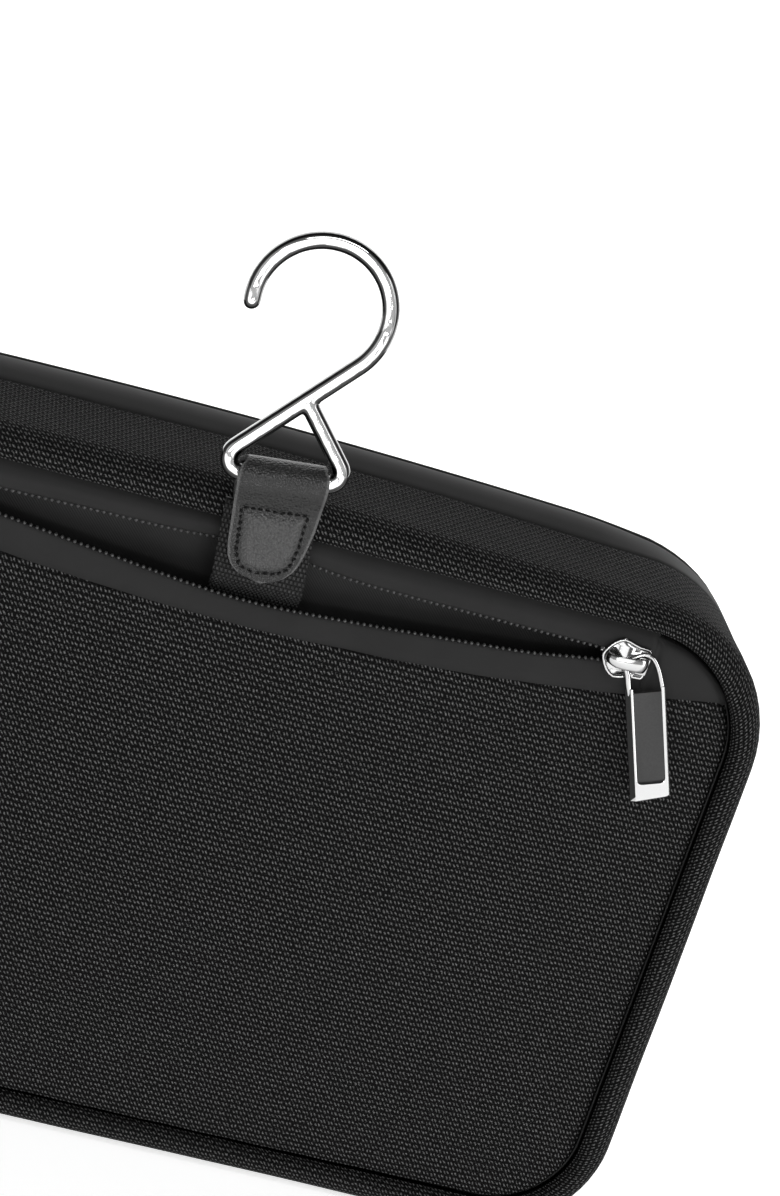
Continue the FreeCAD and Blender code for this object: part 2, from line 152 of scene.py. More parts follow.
def gridSheet(name, columns, rows, place, uv=None):
    # a grid primitive whose points are laid on a surface; uv gives each point's place on the cloth, in metres
    deselectAll()
    bpy.ops.mesh.primitive_grid_add(x_subdivisions=columns, y_subdivisions=rows, size=1.0)
    obj = bpy.context.object
    obj.name = obj.data.name = name
    mesh = obj.data
    cloth = []
    for k, v in enumerate(mesh.vertices):
        i, j = k % (columns + 1), k // (columns + 1)
        v.co = Vector(place(i, j))
        cloth.append(uv(i, j) if uv else (i / columns, j / rows))
    layer = mesh.uv_layers[0]
    for loop in mesh.loops:
        layer.data[loop.index].uv = cloth[loop.vertex_index]
    mesh.update()
    return obj


def enterEdit():
    bpy.ops.object.mode_set(mode="EDIT")
    bpy.ops.mesh.select_all(action="SELECT")


def leaveEdit():
    bpy.ops.object.mode_set(mode="OBJECT")


def mergeAndFlip(obj, away=None):
    # closes doubled points, then turns the faces to the side that away points to
    pick(obj)
    enterEdit()
    bpy.ops.mesh.remove_doubles(threshold=0.00002)
    bpy.ops.mesh.normals_make_consistent(inside=False)
    leaveEdit()
    if away:
        total = sum(f.normal.dot(Vector(away(f.center))) * f.area for f in obj.data.polygons)
        if total < 0:
            enterEdit()
            bpy.ops.mesh.flip_normals()
            leaveEdit()
    bpy.ops.object.shade_smooth()
    return obj


def applyModifier(obj, kind, **values):
    pick(obj)
    m = obj.modifiers.new(kind.title(), kind)
    for key, value in values.items():
        setattr(m, key, value)
    bpy.ops.object.modifier_apply(modifier=m.name)


def thicken(obj, wall):
    applyModifier(obj, "SOLIDIFY", thickness=wall, offset=-1.0)


def smoothEdges(obj, width, segments=2, angle=30):
    applyModifier(obj, "BEVEL", width=width, segments=segments, limit_method="ANGLE", angle_limit=math.radians(angle))
    pick(obj)
    bpy.ops.object.shade_smooth_by_angle(angle=math.radians(40))


def inMm(*points):
    return [tuple(value * mm for value in point) for point in points]


def outward(c):
    return (c.x, 0, c.z - topZ / 2)


def forwards(c):
    return (0, -1, 0)


def sweepBand(name, profile, wall, keep=None, swell=None, toGroove=False):
    # sweeps a profile of (inset, y) points round the outline; an inset is in metres, or with toGroove a share of
    # the way from the edge to the groove line
    spread = 10 * mm if toGroove else 1.0
    run = [0.0]
    for (a, b), (c, d) in zip(profile, profile[1:]):
        run.append(run[-1] + math.hypot((c - a) * spread, d - b))

    def place(i, j):
        x, z, nx, nz = outerLine[i]
        t, y = profile[j]
        out = swell(x, z, t, y) if swell else 0.0
        if toGroove:
            gx, gz = innerLine[i]
            return x + (gx - x) * t + nx * out, y + seamY, z + (gz - z) * t + nz * out
        return x - nx * (t - out), y + seamY, z - nz * (t - out)

    obj = gridSheet(name, len(outerLine) - 1, len(profile) - 1, place, lambda i, j: (lineLength[i], run[j]))
    if keep:
        trim(obj, keep)
    mergeAndFlip(obj, outward)
    thicken(obj, wall)
    return obj


def trim(obj, keep):
    # cuts away one side of a level plane: keep is ("above" or "below", z)
    side, z = keep
    pick(obj)
    enterEdit()
    above = side == "above"
    bpy.ops.mesh.bisect(plane_co=(0, 0, z), plane_no=(0, 0, 1), clear_inner=above, clear_outer=not above)
    leaveEdit()


def ease(t):
    t = max(0.0, min(1.0, t))
    return t * t * (3 - 2 * t)


def ripple(x, z, seed=0.0, size=0.03):
    return noise.noise(Vector((x / size, z / size, seed)))


def startMaterial(name, **values):
    material = bpy.data.materials.new(name)
    material.use_nodes = True
    tree = material.node_tree
    shader = tree.nodes["Principled BSDF"]
    for key, value in values.items():
        shader.inputs[key.replace("_", " ")].default_value = value
    return material, tree, shader


def addNode(tree, kind, inputs=None, **settings):
    node = tree.nodes.new(kind)
    for key, value in settings.items():
        setattr(node, key, value)
    for key, value in (inputs or {}).items():
        if isinstance(value, bpy.types.NodeSocket):
            tree.links.new(value, node.inputs[key])
        else:
            node.inputs[key].default_value = value
    return node


def mathNode(tree, operation, a, b=None):
    node = addNode(tree, "ShaderNodeMath", operation=operation)
    for k, value in enumerate((a, b)):
        if isinstance(value, bpy.types.NodeSocket):
            tree.links.new(value, node.inputs[k])
        elif value is not None:
            node.inputs[k].default_value = value
    return node.outputs[0]


def mixColour(tree, share, a, b):
    node = addNode(tree, "ShaderNodeMix", data_type="RGBA")
    for key, value in (("Factor", share), ("A", a), ("B", b)):
        socket = [s for s in node.inputs if s.name == key and (s.type == "RGBA" or key == "Factor")][0]
        if isinstance(value, bpy.types.NodeSocket):
            tree.links.new(value, socket)
        else:
            socket.default_value = value
    return [s for s in node.outputs if s.type == "RGBA"][0]


def grey(v):
    return (v, v, v, 1.0)


def plus(tree, a, b):
    return mathNode(tree, "ADD", a, b)


def times(tree, a, b):
    return mathNode(tree, "MULTIPLY", a, b)


def cosine(tree, a):
    return mathNode(tree, "COSINE", a)


def objectPlace(tree):
    return addNode(tree, "ShaderNodeTexCoord").outputs["Object"]


def clothPlace(tree):
    # the place on the cloth, in mm
    cloth = addNode(tree, "ShaderNodeTexCoord").outputs["UV"]
    return addNode(tree, "ShaderNodeMapping", {"Vector": cloth, "Scale": (1000, 1000, 1000)}).outputs[0]


def noiseNode(tree, place, scale, detail, **inputs):
    return addNode(tree, "ShaderNodeTexNoise", {"Vector": place, "Scale": scale, "Detail": detail, **inputs})


def splitAxes(tree, place):
    return addNode(tree, "ShaderNodeSeparateXYZ", {"Vector": place}).outputs


def setColour(tree, shader, colour):
    tree.links.new(colour, shader.inputs["Base Color"])


def setRelief(tree, shader, strength, distance, height):
    relief = addNode(tree, "ShaderNodeBump", {"Strength": strength, "Distance": distance, "Height": height})
    tree.links.new(relief.outputs[0], shader.inputs["Normal"])


def ballisticWeave(name):
    # staggered bumps of paired yarns with fine fibres; each bump has a small painted highlight, a painted glint spot in
    # its colour
    weave = {"cell": 2.28, "row": 1.63, "dark": 0.0045, "bright": 0.17, "height": 0.5 * mm, "rough": 0.62}
    material, tree, shader = startMaterial(name, Roughness=weave["rough"], Specular_IOR_Level=0.02)
    perCell, perRow = 2 * math.pi / weave["cell"], 2 * math.pi / weave["row"]
    flat = clothPlace(tree)
    wobble = noiseNode(tree, flat, 0.5, 2.0).outputs["Color"]
    small = addNode(tree, "ShaderNodeVectorMath", {0: wobble, "Scale": 0.7}, operation="SCALE").outputs[0]
    moved = addNode(tree, "ShaderNodeVectorMath", {0: flat, 1: small}, operation="ADD").outputs[0]
    parts = splitAxes(tree, moved)
    across = cosine(tree, times(tree, parts[0], perCell))
    along = cosine(tree, times(tree, parts[1], perRow / 2))
    knots = plus(tree, times(tree, times(tree, across, along), 0.5), 0.5)
    lean = times(tree, parts[1], perRow)
    twin = cosine(tree, plus(tree, times(tree, parts[0], 2 * perCell), lean))
    yarn = mathNode(tree, "SUBTRACT", 0.5, times(tree, twin, 0.5))
    rows = plus(tree, times(tree, cosine(tree, lean), 0.4), 0.6)
    fibre = noiseNode(tree, flat, 2.3, 3.0, Roughness=0.65).outputs[0]
    fuzz = times(tree, mathNode(tree, "SUBTRACT", fibre, 0.5), 1.5)
    dots = times(tree, times(tree, yarn, rows), plus(tree, times(tree, knots, 0.6), 0.4))
    height = plus(tree, plus(tree, times(tree, knots, 0.7), times(tree, dots, 0.6)), times(tree, fuzz, 0.5))
    # painted highlight: the yarn dots and fibre fuzz mix the cloth's dark colour towards a painted glint colour
    spots = plus(tree, dots, times(tree, fuzz, 1.25))
    glint = addNode(tree, "ShaderNodeMapRange", {"Value": spots, "From Min": 0.26, "From Max": 0.95}).outputs[0]
    setColour(tree, shader, mixColour(tree, glint, grey(weave["dark"]), grey(weave["bright"])))
    setRelief(tree, shader, 1.0, weave["height"], height)
    return material


def smoothTape():
    tape = {"dark": 0.017 * 0.85, "light": 0.017 * 1.2, "rough": 0.55}
    material, tree, shader = startMaterial("coatedTape", Roughness=tape["rough"], Specular_IOR_Level=0.09)
    here = objectPlace(tree)
    cloud = noiseNode(tree, here, 90.0, 3.0).outputs[0]
    setColour(tree, shader, mixColour(tree, cloud, grey(tape["dark"]), grey(tape["light"])))
    setRelief(tree, shader, 0.12, 0.1 * mm, noiseNode(tree, here, 2600.0, 2.0).outputs[0])
    return material


def satinLining():
    lining = {"dark": 0.008 * 0.6, "light": 0.008 * 1.5, "rough": 0.42, "twill": 0.9 * mm}
    material, tree, shader = startMaterial("satinLining", Roughness=lining["rough"], Specular_IOR_Level=0.25)
    here = objectPlace(tree)
    parts = splitAxes(tree, here)
    twill = mathNode(tree, "SINE", times(tree, plus(tree, parts[0], parts[2]), 2 * math.pi / lining["twill"]))
    cloud = noiseNode(tree, here, 120.0, 3.0).outputs[0]
    setColour(tree, shader, mixColour(tree, cloud, grey(lining["dark"]), grey(lining["light"])))
    setRelief(tree, shader, 0.25, 0.08 * mm, twill)
    return material


def grainedLeather():
    leather = {"colour": 0.007, "rough": 0.3, "edge": 0.06, "box": 0.034}
    rimStarts = ((0.462, 0.478), (0.4905, 0.4945))    # where the pale cut edge begins and is full, across and along
    material, tree, shader = startMaterial("grainedLeather", Roughness=leather["rough"], Specular_IOR_Level=0.45)
    here = objectPlace(tree)
    cells = addNode(tree, "ShaderNodeTexVoronoi", {"Vector": here, "Scale": 1700.0}, feature="F1").outputs["Distance"]
    creases = noiseNode(tree, here, 420.0, 4.0).outputs[0]
    skin = mixColour(tree, creases, grey(leather["colour"] * 0.6), grey(leather["colour"] * 1.6))
    box = addNode(tree, "ShaderNodeAttribute", attribute_name="sewnBox").outputs["Fac"]
    # painted highlight and shade: inside the sewn box the tab is painted several times lighter, standing in for light
    # on its raised top, and each grain cell is painted light in its middle and dark at its edge
    paintedBoxGlints = mixColour(tree, cells, grey(leather["box"] * 1.7), grey(leather["box"] * 0.35))
    parts = splitAxes(tree, addNode(tree, "ShaderNodeTexCoord").outputs["UV"])
    rims = []
    for part, (low, high) in zip(parts, rimStarts):
        off = mathNode(tree, "ABSOLUTE", mathNode(tree, "SUBTRACT", part, 0.5))
        rims.append(addNode(tree, "ShaderNodeMapRange", {"Value": off, "From Min": low, "From Max": high}).outputs[0])
    rim = mathNode(tree, "MAXIMUM", *rims)
    setColour(tree, shader, mixColour(tree, rim, mixColour(tree, box, skin, paintedBoxGlints), grey(leather["edge"])))
    setRelief(tree, shader, 0.9, 0.3 * mm, plus(tree, times(tree, cells, 0.8), creases))
    return material


def ribbedWebbing():
    webbing = {"knot": 1.15, "row": 1.35, "dark": 0.002, "light": 0.036}
    material, tree, shader = startMaterial("ribbedWebbing", Roughness=0.5, Specular_IOR_Level=0.2)
    flat = clothPlace(tree)
    # painted highlight and shade: the knots are painted light and the gaps between them dark, so the colour follows the
    # ribs' relief
    bricks = addNode(tree, "ShaderNodeTexBrick", {
        "Vector": flat, "Scale": 1.0, "Brick Width": webbing["knot"], "Row Height": webbing["row"],
        "Color1": grey(webbing["light"] * 0.5), "Color2": grey(webbing["light"]), "Mortar": grey(webbing["dark"]),
        "Mortar Size": 0.4, "Mortar Smooth": 1.0,
    }, offset=0.5).outputs
    fibre = noiseNode(tree, flat, 3.0, 3.0).outputs[0]
    setColour(tree, shader, bricks["Color"])
    knots = mathNode(tree, "SUBTRACT", 1.0, bricks["Fac"])
    setRelief(tree, shader, 1.0, 0.6 * mm, plus(tree, knots, times(tree, fibre, 0.4)))
    return material


# painted reflection: a multiplier on the metal's colour, from facing the eye, 0, to turned away from it, 1, painting
# light and dark reflection bands
hookReflectionBands = ((0.0, 1.0), (0.1, 1.0), (0.15, 0.1), (0.36, 0.03), (0.46, 0.35), (0.7, 0.6), (1.0, 0.35))
sliderReflectionBands = ((0.0, 1.0), (0.22, 0.95), (0.34, 0.3), (0.5, 0.07), (0.66, 0.4), (0.85, 0.75), (1.0, 0.6))


def polishedMetal(name, colour, rough, stops):
    material, tree, shader = startMaterial(name, Metallic=1.0, Roughness=rough)
    wear = noiseNode(tree, objectPlace(tree), 260.0, 4.0).outputs[0]
    tone = mixColour(tree, wear, grey(colour * 0.96), grey(colour * 1.03))
    # painted reflection: the marked faces are painted nearly black, standing in for the dark reflection on the puller's
    # slanted facet
    facet = addNode(tree, "ShaderNodeAttribute", attribute_name="darkFacet").outputs["Fac"]
    tone = mixColour(tree, facet, tone, grey(colour * 0.05))
    # painted reflection: the colour is multiplied by a ramp over how far the surface turns from the eye
    turned = addNode(tree, "ShaderNodeLayerWeight", {"Blend": 0.5})
    steps = addNode(tree, "ShaderNodeValToRGB", {"Fac": turned.outputs["Facing"]})
    ramp = steps.color_ramp
    while len(ramp.elements) < len(stops):
        ramp.elements.new(0.5)
    for element, (place, value) in zip(ramp.elements, stops):
        element.position = place
        element.color = grey(value)
    shade = addNode(tree, "ShaderNodeMix", {0: 1.0}, data_type="RGBA", blend_type="MULTIPLY")
    sockets = [k for k in shade.inputs if k.type == "RGBA"]
    tree.links.new(tone, sockets[0])
    tree.links.new(steps.outputs[0], sockets[1])
    setColour(tree, shader, [k for k in shade.outputs if k.type == "RGBA"][0])
    setRelief(tree, shader, 0.008, 0.1 * mm, wear)
    return material


def speckled(name, dark, light, scale, relief=0.0, **values):
    # a small piece with a fine speck of two greys
    material, tree, shader = startMaterial(name, **values)
    speck = noiseNode(tree, objectPlace(tree), scale, 2.0).outputs[0]
    setColour(tree, shader, mixColour(tree, speck, grey(dark), grey(light)))
    if relief:
        setRelief(tree, shader, relief, 0.05 * mm, speck)
    return material


weaveMaterial = ballisticWeave("ballisticWeave")
tapeMaterial = smoothTape()
liningMaterial = satinLining()
leatherMaterial = grainedLeather()
webbingMaterial = ribbedWebbing()
chromeMaterial = polishedMetal("polishedMetal", 0.95, 0.06, hookReflectionBands)
sliderMaterial = polishedMetal("sliderMetal", 0.62, 0.1, sliderReflectionBands)
inlayMaterial = speckled("greyInlay", 0.024, 0.041, 1800.0, 0.2, Roughness=0.5, Specular_IOR_Level=0.3)
coilMaterial = speckled("nylonCoil", 0.02, 0.06, 900.0, Roughness=0.3)
threadMaterial = speckled("sewingThread", 0.001, 0.006, 2500.0, Roughness=0.6, Specular_IOR_Level=0.15)
print("finishes ready")


def finishPiece(obj, body, material, replaced=()):
    obj.data.materials.clear()
    obj.data.materials.append(material)
    if replaced:
        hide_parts(*replaced)
    if body:
        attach(obj, body)
    return obj


roll = {"front": frontY - seamY - 0.3 * mm, "start": -49.3 * mm, "panelEdge": -55.0 * mm}


def gussetSwell(x, z, t, y):
    return 0.35 * mm * ripple(x, z, y * 40, 0.035) * (1 - t)


rollProfile = [(0.22, -15.2 * mm), (0.06, -15.9 * mm), (0.0, -17.2 * mm), (0.0, -20 * mm)]
rollProfile += [(0.0, y * mm) for y in (-24, -28, -32, -36, -40, -44)]
for k in range(1, 10):
    turn = math.radians(10 * k)
    rollProfile.append((0.72 * (1 - math.cos(turn)), roll["start"] + (roll["front"] - roll["start"]) * math.sin(turn)))
rollProfile += [(0.84, -58.0 * mm), (0.93, -57.0 * mm), (0.99, -55.6 * mm), (1.02, -54.2 * mm), (1.03, -53.2 * mm)]
gusset = sweepBand("frontGusset", rollProfile, 1.2 * mm, swell=gussetSwell, toGroove=True)
finishPiece(gusset, "front_shell", weaveMaterial, ["front_gusset"])


def halfWidthAt(z, inset):
    # half the width of the outline at height z, moved in by inset
    rt, rb = outline["topCorner"], outline["baseCorner"]
    cz = archZ(halfWidth - rt) - rt
    if z < rb:
        r = rb - inset
        return halfWidth - rb + math.sqrt(max(r * r - (rb - z) ** 2, 0.0))
    if z > cz:
        r = rt - inset
        return halfWidth - rt + math.sqrt(max(r * r - (z - cz) ** 2, 0.0))
    return halfWidth - inset


def insetOf(x, z):
    # how far inside the outline a point is
    x = abs(x)
    rt, rb = outline["topCorner"], outline["baseCorner"]
    cx, cz, bx = halfWidth - rt, archZ(halfWidth - rt) - rt, halfWidth - rb
    if z > cz and x > cx:
        return rt - math.hypot(x - cx, z - cz)
    if z < rb and x > bx:
        return rb - math.hypot(x - bx, z - rb)
    return min(halfWidth - x, z, archZ(x) - z)


pocket = {
    "trackHalf": 112 * mm, "upperLip": 183.4 * mm, "lowerLip": 169.9 * mm, "lip": 0.9 * mm, "upperTapeY": -57.3 * mm,
    "panelEnd": 176.8 * mm, "panelSag": 11.8 * mm, "panelHalf": 136 * mm, "bulge": 8.4 * mm, "panelInset": 9.9 * mm,
    "coverStart": 110.5 * mm,
}


def hump(x, middle, width):
    return math.exp(-((x - middle) / width) ** 2)


def lowerLipZ(x):
    slope = 0.098 if x < 0 else 0.084
    return pocket["lowerLip"] + math.hypot(slope * x, 1.2 * mm) + 1.4 * mm * ease((abs(x) - 75 * mm) / (25 * mm))


def upperLipZ(x):
    return pocket["upperLip"] + 1.1 * mm * hump(x, -35 * mm, 28 * mm) + 2.6 * mm * hump(x, 0, 19 * mm)


def panelTopZ(x):
    return pocket["panelEnd"] - pocket["panelSag"] * max(-0.1, 1 - (x / pocket["panelHalf"]) ** 2)


def panelY(x, z):
    across = max(0.0, 1 - (x / (147 * mm)) ** 2)
    height = max(0.0, 1 - ((z - 100 * mm) / (105 * mm)) ** 2)
    return roll["panelEdge"] - pocket["bulge"] * across * height


panelGrid = {"columns": 150, "rows": 96}


def frontPanelPlace(i, j):
    u = 2 * i / panelGrid["columns"] - 1
    v = j / panelGrid["rows"]
    v = 0.5 * v + 0.5 * (1 - math.cos(math.pi * v)) / 2
    low = pocket["panelInset"]
    half = halfWidthAt(low + (pocket["panelEnd"] - low) * v, low)
    x = math.sin(u * math.pi / 2) * 0.3 * half + 0.7 * u * half
    z = low + (panelTopZ(x) - low) * v
    edge = insetOf(x, z) - low
    y = panelY(x, z)
    y += 2.4 * mm * math.exp(-max(edge, 0) / (1.1 * mm))
    y += 1.3 * mm * math.exp(-max(panelTopZ(x) - z, 0) / (0.8 * mm))
    y += 0.5 * mm * ripple(x, z, 3.0, 0.05) * (1 - math.exp(-max(edge, 0) / (12 * mm)))
    y += 0.12 * mm * math.sin(x / (3.1 * mm)) * math.exp(-max(edge, 0) / (5 * mm)) * (z < 60 * mm)
    return x, y + seamY, z


panel = gridSheet("frontPanel", *panelGrid.values(), frontPanelPlace, lambda i, j: frontPanelPlace(i, j)[::2])
mergeAndFlip(panel, forwards)
thicken(panel, 1.4 * mm)
finishPiece(panel, "front_shell", weaveMaterial, ["front_panel"])
print("front half shaped")

lipWidth = {"columns": 150, "rows": 14}


def lowerTapePlace(i, j):
    x = pocket["trackHalf"] * (2 * i / lipWidth["columns"] - 1)
    v = j / lipWidth["rows"]
    low, high, lip = panelTopZ(x) - 2.0 * mm, lowerLipZ(x), pocket["lip"]
    if v < 0.72:
        t = v / 0.72
        z = low + (high - lip - low) * t
        y = panelY(x, z) + 1.0 * mm * (1 - ease(t * 2.2)) - 0.45 * mm * math.sin(math.pi * t)
    else:
        turn = (v - 0.72) / 0.28 * math.pi
        z = high - lip + lip * math.sin(turn)
        y = panelY(x, high) + lip * (1 - math.cos(turn))
    y += 0.25 * mm * ripple(x, z, 7.0, 0.012)
    return x, y + seamY, z


lowerTape = gridSheet("pocketTapeLower", *lipWidth.values(), lowerTapePlace)
mergeAndFlip(lowerTape, forwards)
thicken(lowerTape, 0.5 * mm)
finishPiece(lowerTape, "front_shell", tapeMaterial, ["pocket_tape_lower"])


def upperTapePlace(i, j):
    x = pocket["trackHalf"] * (2 * i / lipWidth["columns"] - 1)
    v = j / lipWidth["rows"]
    low, high, lip = upperLipZ(x), grooveLine["top"] + 1.2 * mm, pocket["lip"]
    pressed = lip * hump(x, 0, 17 * mm) * (1 - v)
    if v > 0.35:
        t = (v - 0.35) / 0.65
        z = low + lip + (high - low - lip) * t
        y = pocket["upperTapeY"] + 2.8 * mm * ease(t) ** 2 - 0.25 * mm * math.sin(math.pi * t) + pressed
    else:
        turn = (1 - v / 0.35) * math.pi
        z = low + lip - lip * math.sin(turn)
        y = pocket["upperTapeY"] + lip * (1 - math.cos(turn)) + pressed
    return x, y + seamY + 0.2 * mm * ripple(x, z, 9.0, 0.015), z


upperTape = gridSheet("pocketTapeUpper", *lipWidth.values(), upperTapePlace)
mergeAndFlip(upperTape, forwards)
thicken(upperTape, 0.5 * mm)
finishPiece(upperTape, "front_shell", tapeMaterial, ["pocket_tape_upper"])


def endCover(side, name, node):
    # smooth patch that closes the zip's end: two folded layers at its inner edge, tucked into the groove outside
    columns, rows = 26, 18
    start = pocket["coverStart"]

    def place(i, j):
        u, v = i / columns, j / rows
        z0 = pocket["panelEnd"] - 2.0 * mm + (grooveLine["top"] + 0.6 * mm - pocket["panelEnd"] + 2.0 * mm) * v
        far = halfWidthAt(min(z0, topZ - 9 * mm), 8.8 * mm)
        x = start + (max(far, 113 * mm) - start) * u
        low, high = panelTopZ(x) - 2.0 * mm, grooveLine["top"] + 0.8 * mm
        z = low + (high - low) * v
        edge = insetOf(x, z) - 9.2 * mm
        y = panelY(x, z) - 0.9 * mm * math.sin(math.pi * v) ** 0.5 * (1 - 0.5 * u)
        y += 1.0 * mm * (1 - ease(v * 4)) + 2.0 * mm * math.exp(-max(edge, 0) / (1.2 * mm))
        y += 0.7 * mm * hump(x, 113.4 * mm, 0.5 * mm) + 1.2 * mm * math.exp(-((x - start) / (0.4 * mm)))
        return side * x, y + seamY, z

    patch = gridSheet(name, columns, rows, place)
    mergeAndFlip(patch, forwards)
    thicken(patch, 0.7 * mm)
    finishPiece(patch, "front_shell", tapeMaterial, [node])


endCover(1, "pocketEndCoverRight", "pocket_end_cover_right")
endCover(-1, "pocketEndCoverLeft", "pocket_end_cover_left")


def copyAlong(name, source, places):
    # copies one small piece to many places and joins them
    copies = []
    for place in places:
        twin = source.copy()
        twin.data = source.data.copy()
        twin.matrix_world = place
        bpy.context.scene.collection.objects.link(twin)
        copies.append(twin)
    bpy.data.objects.remove(source)
    deselectAll()
    for twin in copies:
        twin.select_set(True)
    bpy.context.view_layer.objects.active = copies[0]
    bpy.ops.object.join()
    bpy.ops.object.transform_apply(location=True, rotation=True, scale=True)
    obj = bpy.context.object
    obj.name = obj.data.name = name
    bpy.ops.object.shade_smooth()
    return obj


def coilTurn(size):
    deselectAll()
    bpy.ops.mesh.primitive_uv_sphere_add(segments=8, ring_count=6, radius=1.0)
    turn = bpy.context.object
    turn.scale = size
    bpy.ops.object.transform_apply(location=False, rotation=False, scale=True)
    return turn


teeth = {"pitch": 1.75 * mm, "size": (0.5 * mm, 0.7 * mm, 0.5 * mm)}


def lipTeeth(name, heightAt, depthAt, node):
    places = []
    count = int(2 * (pocket["trackHalf"] - 1.5 * mm) / teeth["pitch"])
    for k in range(count + 1):
        x = -pocket["trackHalf"] + 1.5 * mm + k * teeth["pitch"]
        z, y = heightAt(x), depthAt(x)
        slope = math.atan2(heightAt(x + 1 * mm) - heightAt(x - 1 * mm), 2 * mm)
        places.append(Matrix.Translation((x, y + seamY, z)) @ Matrix.Rotation(-slope, 4, "Y"))
    row = copyAlong(name, coilTurn(teeth["size"]), places)
    finishPiece(row, "front_shell", coilMaterial, [node])


lipTeeth("pocketTeethLower", lambda x: lowerLipZ(x) + 0.1 * mm,
         lambda x: panelY(x, lowerLipZ(x)) + 0.55 * mm, "pocket_teeth_lower")
lipTeeth("pocketTeethUpper", lambda x: upperLipZ(x) - 0.1 * mm,
         lambda x: -56.7 * mm + 0.9 * mm * hump(x, 0, 17 * mm), "pocket_teeth_upper")
print("pocket zip shaped")


def tray(name, body, node, profile, rings=7):
    # lining: down the walls along the profile, then closing in rings across the flat side
    columns, middle = len(outerLine) - 1, topZ / 2
    lastInset, lastY = profile[-1]

    def place(i, j):
        x, z, nx, nz = outerLine[i]
        if j < len(profile):
            t, y = profile[j]
            return x - nx * t, y + seamY, z - nz * t
        k = 1 - (j - len(profile) + 1) / rings
        px, pz = (x - nx * lastInset) * k, middle + (z - nz * lastInset - middle) * k
        sag = 0.8 * mm * ripple(px, pz, 5.0, 0.03) * (1 - k ** 4)
        return px, lastY + seamY + sag, pz

    obj = gridSheet(name, columns, len(profile) + rings - 1, place)
    mergeAndFlip(obj, lambda c: (-c.x, 0, topZ / 2 - c.z))
    thicken(obj, 0.6 * mm)
    finishPiece(obj, body, liningMaterial, [node])


tray("pocketLining", "front_shell", "pocket_lining",
     inMm((9.6, -52.6), (10.2, -50.5), (10.6, -48.6), (12.0, -47.2), (14.5, -46.6)), 14)
tray("frontLining", "front_shell", "front_lining",
     inMm((3.3, -4.5), (3.2, -14), (3.2, -30), (3.4, -40), (5.0, -43.2), (8.5, -44.2)))


def cornerCalm(x, z):
    # 1 over most of the edge, 0 at the upper corners, where nothing swells
    return 1 - ease((abs(x) - 92 * mm) / (36 * mm)) * ease((z - 145 * mm) / (30 * mm))


def bandSwell(x, z, t, y):
    high = ease((z - 140 * mm) / (45 * mm)) * cornerCalm(x, z)
    dome = 2.1 * mm * math.sin(math.pi / 2 * ease((y + 16.2 * mm) / (12 * mm)))
    return high * dome


bandProfile = inMm((1.6, -16.6), (0.7, -15.9), (0.15, -15.0), (0.0, -13.5), (0.0, -11), (0.0, -8), (0.0, -5),
                   (0.05, -2.6), (0.2, -1.5), (0.7, -0.95), (1.4, -0.85))
bandStart = 23.8 * mm      # above it the two tapes, below it the hinge strip
frontBand = sweepBand("mainTapeFront", bandProfile, 0.6 * mm, keep=("above", bandStart), swell=bandSwell)
finishPiece(frontBand, "front_shell", tapeMaterial, ["main_tape_front"])


def lidBandSwell(x, z, t, y):
    high = ease((z - 140 * mm) / (45 * mm))
    calm = cornerCalm(x, z)
    return calm * high * 1.9 * mm * (1 - ease(y / (13 * mm))) - (1 - calm) * 1.6 * mm * ease((y - 3 * mm) / (6 * mm))


lidBandProfile = inMm((1.4, 0.85), (0.7, 0.95), (0.2, 1.5), (0.4, 3.0), (1.1, 6.0), (2.0, 9.5), (2.8, 12.5),
                      (3.5, 14.4), (4.8, 15.4))
lidBand = sweepBand("mainTapeLid", lidBandProfile, 0.6 * mm, keep=("above", bandStart), swell=lidBandSwell)
finishPiece(lidBand, "lid", tapeMaterial, ["main_tape_lid"])

hingeProfile = inMm((1.2, -16.4), (0.25, -15.4), (0.1, -13), (0.1, -8), (0.15, -4), (0.5, -2), (0.8, -0.8), (0.9, 0.0),
                    (0.85, 0.8), (0.7, 2), (0.9, 4), (1.7, 8), (2.8, 12.5), (3.6, 14.4), (4.8, 15.2))
hingeStrip = sweepBand("hingeStrip", hingeProfile, 0.7 * mm, keep=("below", bandStart - 0.2 * mm))
finishPiece(hingeStrip, None, tapeMaterial, ["hinge_strip_front", "hinge_strip_lid"])
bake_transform(hingeStrip)

lidProfile = inMm((4.6, 14.2), (3.9, 14.8), (3.5, 15.8), (4.1, 18.5), (5.0, 22), (6.4, 26), (8.4, 30), (10.4, 33),
                  (12.8, 36.2), (15.2, 39), (17.4, 41.2), (19.2, 42.2), (20.6, 42.0), (21.6, 41.0), (22.0, 39.6))


def lidSwell(x, z, t, y):
    slack = (1 - cornerCalm(x, z)) * 1.6 * mm * (1 - ease((y - 16 * mm) / (22 * mm)))
    return 0.35 * mm * ripple(x, z, y * 40 + 3, 0.035) - slack


lidGusset = sweepBand("lidGusset", lidProfile, 1.2 * mm, swell=lidSwell)
finishPiece(lidGusset, "lid", weaveMaterial, ["lid_gusset"])
lidGrid = {"columns": 130, "rows": 84, "inset": 21.6 * mm}


def lidPanelPlace(i, j):
    inset = lidGrid["inset"]
    u, v = 2 * i / lidGrid["columns"] - 1, j / lidGrid["rows"]
    v = 0.5 * v + 0.5 * (1 - math.cos(math.pi * v)) / 2
    low, high = inset, archZ(0) - inset
    half = halfWidthAt(low + (high - low) * v, inset)
    x = 0.7 * u * half + 0.3 * math.sin(u * math.pi / 2) * half
    z = low + (archZ(x) - inset - low) * v
    edge = max(insetOf(x, z) - inset, 0)
    y = 41.0 * mm + 3.0 * mm * (1 - (x / (132 * mm)) ** 2) * (1 - ((z - 100 * mm) / (82 * mm)) ** 2)
    y -= 2.2 * mm * math.exp(-edge / (1.1 * mm))
    y += 0.5 * mm * ripple(x, z, 13.0, 0.05) * (1 - math.exp(-edge / (12 * mm)))
    return x, y + seamY, z


